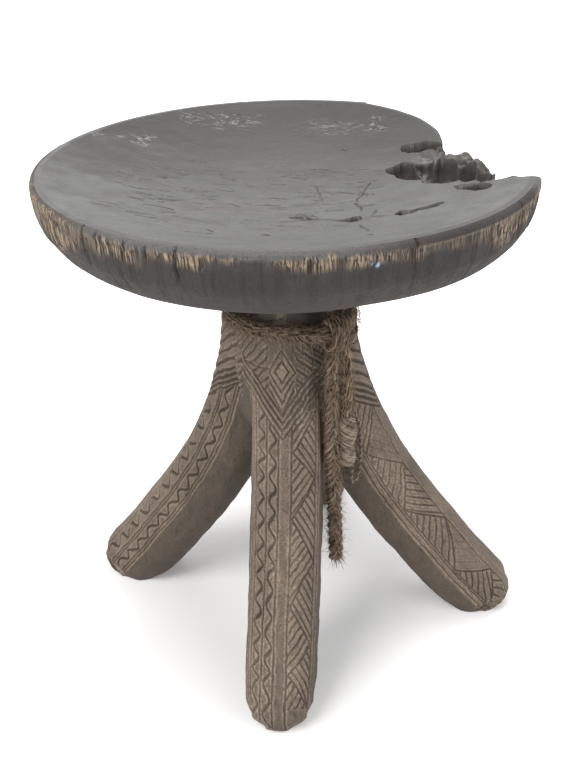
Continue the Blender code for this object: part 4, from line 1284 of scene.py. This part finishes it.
def hatched_triangles(s, w, low, high, corners, spacing, plain):
    """A column of triangles that point left and right in turn, most of them hatched along one side."""
    places = np.array([place for place, _ in corners])
    edges = np.array([low if side == "low" else high for _, side in corners])
    line = np.interp(s, places, edges)
    steep = np.abs(np.diff(places) / np.diff(edges)).mean()
    inside = (w > low) & (w < high) & (s > places[0]) & (s < places[-1])
    wave = np.where(w >= line, s - steep * w, s + steep * w) / spacing
    ridge = np.abs(wave - np.round(wave)) * spacing / math.hypot(1, steep)
    cuts = groove(ridge, GROOVE_HALF_WIDTH, 1.3)
    for first, last in plain:
        cuts = np.where((s > first) & (s < last) & (w >= line), cuts * 0.25, cuts)
    edge_distance = (w - line) / math.sqrt(1 + 1 / steep**2)
    return np.maximum(cuts, groove(edge_distance, GROOVE_HALF_WIDTH, 1.5)) * inside


# what is cut into each face. Down it run lines, zigzags (left, right, period, start) and a column of hatched
# triangles (left, right, corners, spacing, plain ones). Above them are arches: apex is the top of the lowest,
# rise how they fall to their sides, bands how far above the lowest each one lies, and band their half width
# and depth. Edge is where the face has its sides, and end where it stops at the foot.
LAYOUTS = {
    "front": {
        "lines": (-28.3, -22.7, -12.4, -2.9, 7.3, 28.6, 33.0),
        "zigzags": ((-21.9, -13.2, 17.6, 3.8), (-11.4, -3.6, 20.5, 14.75)),
        "hatched": (8.2, 27.8, ((64, "high"), (97, "low"), (120, "high"), (152, "low"), (185, "high"),
                                (220, "low"), (248, "high"), (273, "low"), (296, "high")), 8.4, ()),
        "apex": 86.0, "rise": ((0, 20, 60), (0, 28, 58)), "bands": (0.0, 7.0, 13.5, 20.0), "band": (2.9, 1.6),
        "edge": (-31.0, 36.0), "end": ((-30.7, 2.0, 36.0), (296.0, 316.6, 300.0)),
    },
    "side": {
        "lines": (-45.4, -40.6, -38.5, -12.6, 13.5, 30.6, 33.0, 44.0, 46.4),
        "zigzags": ((15.0, 28.5, 19.5, 4.0), (34.2, 43.2, 19.0, 11.0)),
        "hatched": (-38.0, -13.0, ((62, "low"), (83, "high"), (118, "low"), (148, "high"), (181, "low"),
                                   (215, "high"), (255, "low"), (285, "high"), (306, "low")), 9.0,
                    ((83, 148), (215, 285))),
        "apex": 95.0, "rise": ((0, 30, 60), (0, 25, 42)),
        "bands": (0.0, 6.5, 13.0, 19.5, 31.0, 43.0, 55.0, 67.0, 79.0), "band": (3.4, 1.9),
        "edge": (-48.5, 48.5), "end": ((-48.0, 0.0, 48.0), (300.0, 314.0, 300.0)),
    },
}
LAYOUTS["left"] = {**LAYOUTS["side"], "apex": 101.0, "rise": ((0, 30, 60), (0, 34, 62))}


def front_crest(top, s, w, distance):
    """Adds an eye and slanting cuts above the arches of a front or rear leg, and tells where the eye is."""
    near = smooth_step(10.5, 9.0, np.abs(w)) * (s > 38)
    for place in (64.0, 56.0, 48.0):
        top = np.maximum(top, groove(s + 1.9 * np.abs(w) - place, 2.2, 1.3) * near)
    diamond = np.abs(w - 0.5) / 5.2 + np.abs(s - 29) / 10.5
    top = np.maximum(top, groove((diamond - 1) * 4.6, 1.1, 1.5))
    top = np.maximum(top, groove((diamond - 1.9) * 4.6, 1.0, 1.1) * (s < 42))
    top = np.maximum(top, groove(s - 26, 1.0, 1.2) * (w < -9))
    for slant, period, deep, side in ((1.05, 9.0, 1.3, w < -10), (-1.0, 10.0, 1.0, w > 11)):
        flute = (((s + slant * w) / period) % 1 - 0.5) * period
        top = np.maximum(top, groove(flute, 2.4, deep) * side * smooth_step(18.0, 22.0, distance))
    return top, smooth_step(1.0, 0.7, diamond)


def carved_depth(kind, s, w, seed):
    """Depth of the carving in millimetres, s down the leg from its top and w round from its crown. Also where
    the carved face is, where it is sooty and darkened by painted shade, where the raw end of the foot begins
    and where an eye is."""
    layout = LAYOUTS[kind]
    shift = noise(joined(s, w, seed * 3.1), (34.0, 22.0, 1), seed)
    fine = noise(joined(s, w, seed * 1.7), (6.0, 5.0, 1), seed + 5)
    ragged = noise(joined(s, w, seed * 2.3), (11.0, 14.0, 1), seed + 9)
    s_cut = s + 1.0 * shift + 0.75 * fine
    w_cut = w + 0.60 * shift + 0.50 * fine
    distance = layout["apex"] - s_cut - np.interp(np.abs(w_cut), *layout["rise"])
    below = smooth_step(0.6, -1.2, distance)
    end = np.interp(w_cut, *layout["end"])
    depth = hatched_triangles(s_cut, w_cut, *layout["hatched"])
    for line in layout["lines"]:
        depth = np.maximum(depth, groove(w_cut - line, GROOVE_HALF_WIDTH, 1.25))
    for zigzag in layout["zigzags"]:
        depth = np.maximum(depth, zigzag_cut(s_cut + 0.9 * ragged, w_cut + 0.5 * ragged, *zigzag))
    depth = depth * below * smooth_step(end + 1.5, end - 0.5, s)
    low, high = layout["edge"]
    face = smooth_step(low - 1, low + 1, w) * smooth_step(high + 1, high - 1, w)
    top_face = smooth_step(50.0, 46.0, np.abs(w)) * smooth_step(-4.0, 0.0, distance)
    inside = np.maximum(face, top_face)
    # painted shade: the plain flanks and the inner side of the leg, off its carved face, are darker
    soot_and_shade = 0.72 * (1 - inside)
    half, deep = layout["band"]
    top, eye = np.zeros_like(s), np.zeros_like(s)
    for place in layout["bands"]:
        top = np.maximum(top, groove(distance - place, half, deep, 1.2))
    if kind == "front":
        top, eye = front_crest(top * (1 - 0.55 * smooth_step(2.0, 8.0, w)), s_cut, w_cut, distance)
        # on the front and rear legs, soot and painted shade darken the right of the top above the arches, and
        # painted shade darkens the top of the face just under the ring
        soot_and_shade = np.maximum(soot_and_shade, smooth_step(0.0, 9.0, w) * smooth_step(-22.0, 2.0, distance) * 1.15)
        soot_and_shade = np.maximum(soot_and_shade, 0.35 * smooth_step(30.0, 12.0, s))
    depth = np.maximum(depth, top * (1 - below))
    return depth * inside, inside, soot_and_shade, smooth_step(end - 0.5, end + 1.5, s) * face, eye


# name, azimuth in degrees, share of the reach, share of the thickness, what is cut into it, seed
LEGS = (
    ("right_leg_carving", 0.0, 0.99, 1.0, "side", 1),
    ("rear_leg_carving", 90.0, 0.94, 1.0, "front", 2),
    ("left_leg_carving", 173.0, 1.026, 1.06, "left", 3),
    ("front_leg_carving", 270.0, 0.918, 0.98, "front", 4),
)
# how finely a leg is divided: round its carved face, round the rest of it, and down it, in metres
SECTION_OUTER = 150
SECTION_INNER = 34
ROW_STEP = 0.0008
# how thick a leg is here, as a share of the solid's
THINNER_SHARE = 0.998
# the joint: how far down it follows a leg, in metres, and how far round its corners are, in millimetres
HUB_COLUMNS = 480
HUB_REACH = 0.130
CORNER_REACH = 38.0


def carved_fields(depth, inside, soot_and_shade, worn, eye=0.0, tip=0.0):
    """What the carving leaves on the wood: painted shade in its cuts, rubbed edges, and sooty places with
    painted shade on the flanks, from depths in metres.
    """
    raised = box_blur(depth, 2) - depth
    # painted shade: the deeper the carving, the darker it is painted
    shade_and_dark_marks = np.clip(depth / 0.0017 - 0.26, 0, 0.9) * inside * (1 - 0.4 * worn)
    wear = np.clip(raised / 0.00024, 0, 1) * inside * (0.45 + 0.55 * worn)
    return {"shade_and_dark_marks": shade_and_dark_marks, "wear": np.clip(wear + 0.9 * tip + 0.5 * eye, 0, 1), "rot": 0 * shade_and_dark_marks,
            "soot_and_shade": np.clip(soot_and_shade, 0, 1) * (1 - tip)}


def make_hub():
    """The joint under the ring, where the carved faces of the legs meet at corners, down to the crotch."""
    arch = HUB_RADIUS * np.cos(np.linspace(np.pi / 2, 0.02, 26)[1:])
    levels = np.concatenate([np.linspace(LEG_TOP, ARCH_HEIGHT, 76), ARCH_HEIGHT - arch])
    spread = np.sqrt(np.clip(HUB_RADIUS**2 - np.clip(ARCH_HEIGHT - levels, 0, None) ** 2, 1e-8, None))
    cone = NECK_RADIUS + (HUB_RADIUS - NECK_RADIUS) * (NECK_LOW - levels) / HUB_DROP
    turn, level = np.meshgrid(np.linspace(0, 2 * np.pi, HUB_COLUMNS, endpoint=False), levels)
    index, away = nearest_leg(turn)
    depth, inside, soot_and_shade = (np.zeros_like(turn) for _ in range(3))
    for number, (_, _, reach_share, _, kind, seed) in enumerate(LEGS):
        line, _, steps = bezier_line(reach_share)
        way = unit(np.gradient(line, axis=0))
        seen = slice(*np.searchsorted(steps, (0.0, HUB_REACH)))
        for column in np.nonzero(index[0] == number)[0]:
            out = HUB_RADIUS * math.cos(away[0, column]) - line[:, 0]
            height = line[:, 1] + way[:, 0] * out * smooth_step(0.0, 0.045, steps)
            s = np.interp(-levels, -height[seen], steps[seen]) * 1000
            w = np.full_like(s, CORNER_REACH * away[0, column] / (np.pi / 4))
            result = carved_depth(kind, s[:, None], w[:, None], seed)
            for target, part in zip((depth, inside, soot_and_shade), result):
                target[:, column] = part[:, 0]
    under = smooth_step(ARCH_HEIGHT + 0.012, ARCH_HEIGHT, level)
    depth = depth * (1 - under) / 1000
    corner = np.clip(np.abs(away) / (np.pi / 4), 0, 1)
    inset = 0.0015 * corner**4 + 0.0004 * (1 + rough(joined(turn * 0.05, level), (0.010, 0.006, 1), 94, 2))
    radius = np.minimum(spread, cone)[:, None] * (1 - (depth + inset) / HUB_RADIUS)
    # painted shade: darker under the crotch and in the corners where the faces of the legs meet
    soot_and_shade = np.maximum(soot_and_shade, np.maximum(0.75 * under, 0.5 * smooth_step(0.93, 1.0, corner)))
    fields = carved_fields(depth, inside * (1 - under), soot_and_shade, 0.5)
    faces = grid_faces(len(levels), HUB_COLUMNS, wrap=True)
    return wood_piece("leg_joint_carving", polar(radius, turn, level), faces, fields, LEG_WOOD)


def make_leg(name, degrees, reach_share, thickness_share, kind, seed):
    """One carved leg: its section swept along its line, with its carving sunk into it and flat under its
    foot.
    """
    line, width, steps = bezier_line(reach_share)
    across, outward, arc = leg_section(SECTION_OUTER, SECTION_INNER)
    rows = np.append(np.arange(0.0, steps[-1], ROW_STEP), steps[-1])
    radius, height, thick = (np.interp(rows, steps, values) for values in (line[:, 0], line[:, 1], width))
    thick = thick[:, None] * thickness_share
    way = unit(np.column_stack([np.gradient(radius), np.gradient(height)]))
    # the rows lean over gently at the top, so that the first one is level
    top_share = smooth_step(0.045, 0.0, rows)[:, None]
    square = np.column_stack([-way[:, 1], way[:, 0]])
    normal = unit(square * (1 - top_share) + np.array((1.0, 0.0)) * top_share)
    grid = joined(rows[:, None], thick * arc)
    depth, inside, soot_and_shade, tip, eye = carved_depth(kind, grid[..., 0] * 1000, grid[..., 1] * 1000, seed)
    worn = smooth_step(-0.2, 0.7, rough(grid, (0.07, 0.03, 1), seed + 80, 2))
    adze = (1 - inside) * 0.45 * (1 + rough(grid, (0.012, 0.006, 1), seed + 60, 2))
    swell = inside * 0.32 * (1 + rough(grid, (0.016, 0.005, 1), seed + 63, 4))
    foot = np.maximum(tip, smooth_step(0.312, 0.322, rows)[:, None])
    crumble = foot * 0.9 * (1 + rough(grid, (0.006, 0.006, 1), seed + 66, 3))
    depth = (depth * (1.15 - 0.35 * worn) + adze + swell + crumble) / 1000
    x, y = across * THINNER_SHARE * thick, outward * THINNER_SHARE * thick
    # a rounded section pulled in by the carving, towards the centre line
    pull = 1 - depth / np.maximum(np.hypot(x, y), 0.004)
    x, y = x * pull, y * pull
    angle = math.radians(degrees)
    out = radius[:, None] + normal[:, :1] * y
    up = height[:, None] + normal[:, 1:] * y
    points = polar(out, angle, np.minimum(up, LEG_TOP)) + x[..., None] * polar(1.0, angle + np.pi / 2)
    foot_middle = polar(LEG_REACH * reach_share, angle)
    sunk = np.clip(-points[..., 2], 0, None)
    pull_in = (foot_middle - points)[..., :2]
    far = np.maximum(np.linalg.norm(pull_in, axis=-1), 1e-6)
    points[..., :2] += pull_in * (np.minimum(sunk * 1.2, far) / far)[..., None]
    points[..., 2] = np.maximum(points[..., 2], 0.0)
    tip = foot * np.clip(0.55 + rough(grid, (0.008, 0.008, 1), seed + 90, 2), 0, 1)
    # the two last points are the middles of the caps that close the leg
    fields = {label: np.append(values, (0.0, 0.0))
              for label, values in carved_fields(depth, inside, soot_and_shade, worn, eye, tip).items()}
    points = np.vstack([points.reshape(-1, 3), polar(radius[0], angle, LEG_TOP), foot_middle])
    ring = np.arange(len(arc))
    nearby = np.roll(ring, -1)
    top_index = depth.size
    base = top_index - len(arc)
    caps = np.vstack([joined(nearby, ring, top_index), joined(base + ring, base + nearby, top_index + 1)])
    return wood_piece(name, points, grid_faces(*depth.shape, wrap=True), fields, LEG_WOOD, caps)


for piece in [make_dish(), make_rim(), make_neck(), make_hub()] + [make_leg(*row) for row in LEGS]:
    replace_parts(piece, "carved_stool")

# floor, background and light

FLOOR_HALF_SIZE = 6.0
# name, place, size, power, tone
LAMPS = (
    ("soft_key", (-1.1, -1.2, 2.0), 1.4, 34.0, (1.0, 0.99, 0.97)),
    ("soft_fill", (1.5, -0.9, 1.3), 1.6, 10.0, (0.97, 0.98, 1.0)),
    ("soft_top", (0.35, 0.75, 2.6), 1.6, 24.0, (1.0, 1.0, 1.0)),
    ("low_back", (-0.9, 2.6, 0.75), 2.0, 4.5, (1.0, 1.0, 1.0)),
)
LAMP_TARGET = Vector((0, 0, 0.25))


def make_floor():
    mesh = bpy.data.meshes.new("studio_floor")
    corners = [(x * FLOOR_HALF_SIZE, y * FLOOR_HALF_SIZE, 0) for x, y in ((-1, -1), (1, -1), (1, 1), (-1, 1))]
    mesh.from_pydata(corners, [], [(0, 1, 2, 3)])
    floor = bpy.data.objects.new("studio_floor", mesh)
    bpy.context.scene.collection.objects.link(floor)
    material, nodes, shader = new_material("pale_floor", 0.9, 0.1)
    nodes.put(shader, "Base Color", (0.93, 0.93, 0.93))
    # the floor glows for the camera only: painted light that already lifts the floor a little next to the
    # stool, its shadows included, and grows away from it until the floor turns into the white background, as
    # the camera sees it
    distance = nodes.add("ShaderNodeVectorMath", operation="LENGTH")
    nodes.put(distance, 0, nodes.place())
    painted_floor_glow = nodes.spread(distance.outputs["Value"], 0.10, 0.62, 0.10, 0.9)
    seen = nodes.add("ShaderNodeLightPath").outputs["Is Camera Ray"]
    nodes.put(shader, "Emission Color", (1.0, 1.0, 1.0))
    nodes.put(shader, "Emission Strength", nodes.math("MULTIPLY", painted_floor_glow, seen))
    mesh.materials.append(material)


def make_background():
    """White, and a little less bright where it only lights the object."""
    world = bpy.data.worlds.new("studio")
    bpy.context.scene.world = world
    world.use_nodes = True
    nodes = Nodes(world.node_tree)
    background = world.node_tree.nodes["Background"]
    path = nodes.add("ShaderNodeLightPath").outputs
    seen = nodes.math("MAXIMUM", path["Is Camera Ray"], path["Is Glossy Ray"])
    nodes.put(background, "Strength", nodes.spread(seen, 0.0, 1.0, 0.55, 1.0))
    nodes.put(background, "Color", (1.0, 1.0, 1.0))


def make_lamps():
    for name, place, size, power, tone in LAMPS:
        data = bpy.data.lights.new(name, "AREA")
        data.shape = "DISK"
        data.size = size
        data.energy = power
        data.color = tone
        lamp = bpy.data.objects.new(name, data)
        bpy.context.scene.collection.objects.link(lamp)
        lamp.location = place
        lamp.rotation_euler = (LAMP_TARGET - lamp.location).to_track_quat("-Z", "Y").to_euler()


make_floor()
make_background()
make_lamps()
bpy.context.scene.view_settings.view_transform = "Standard"
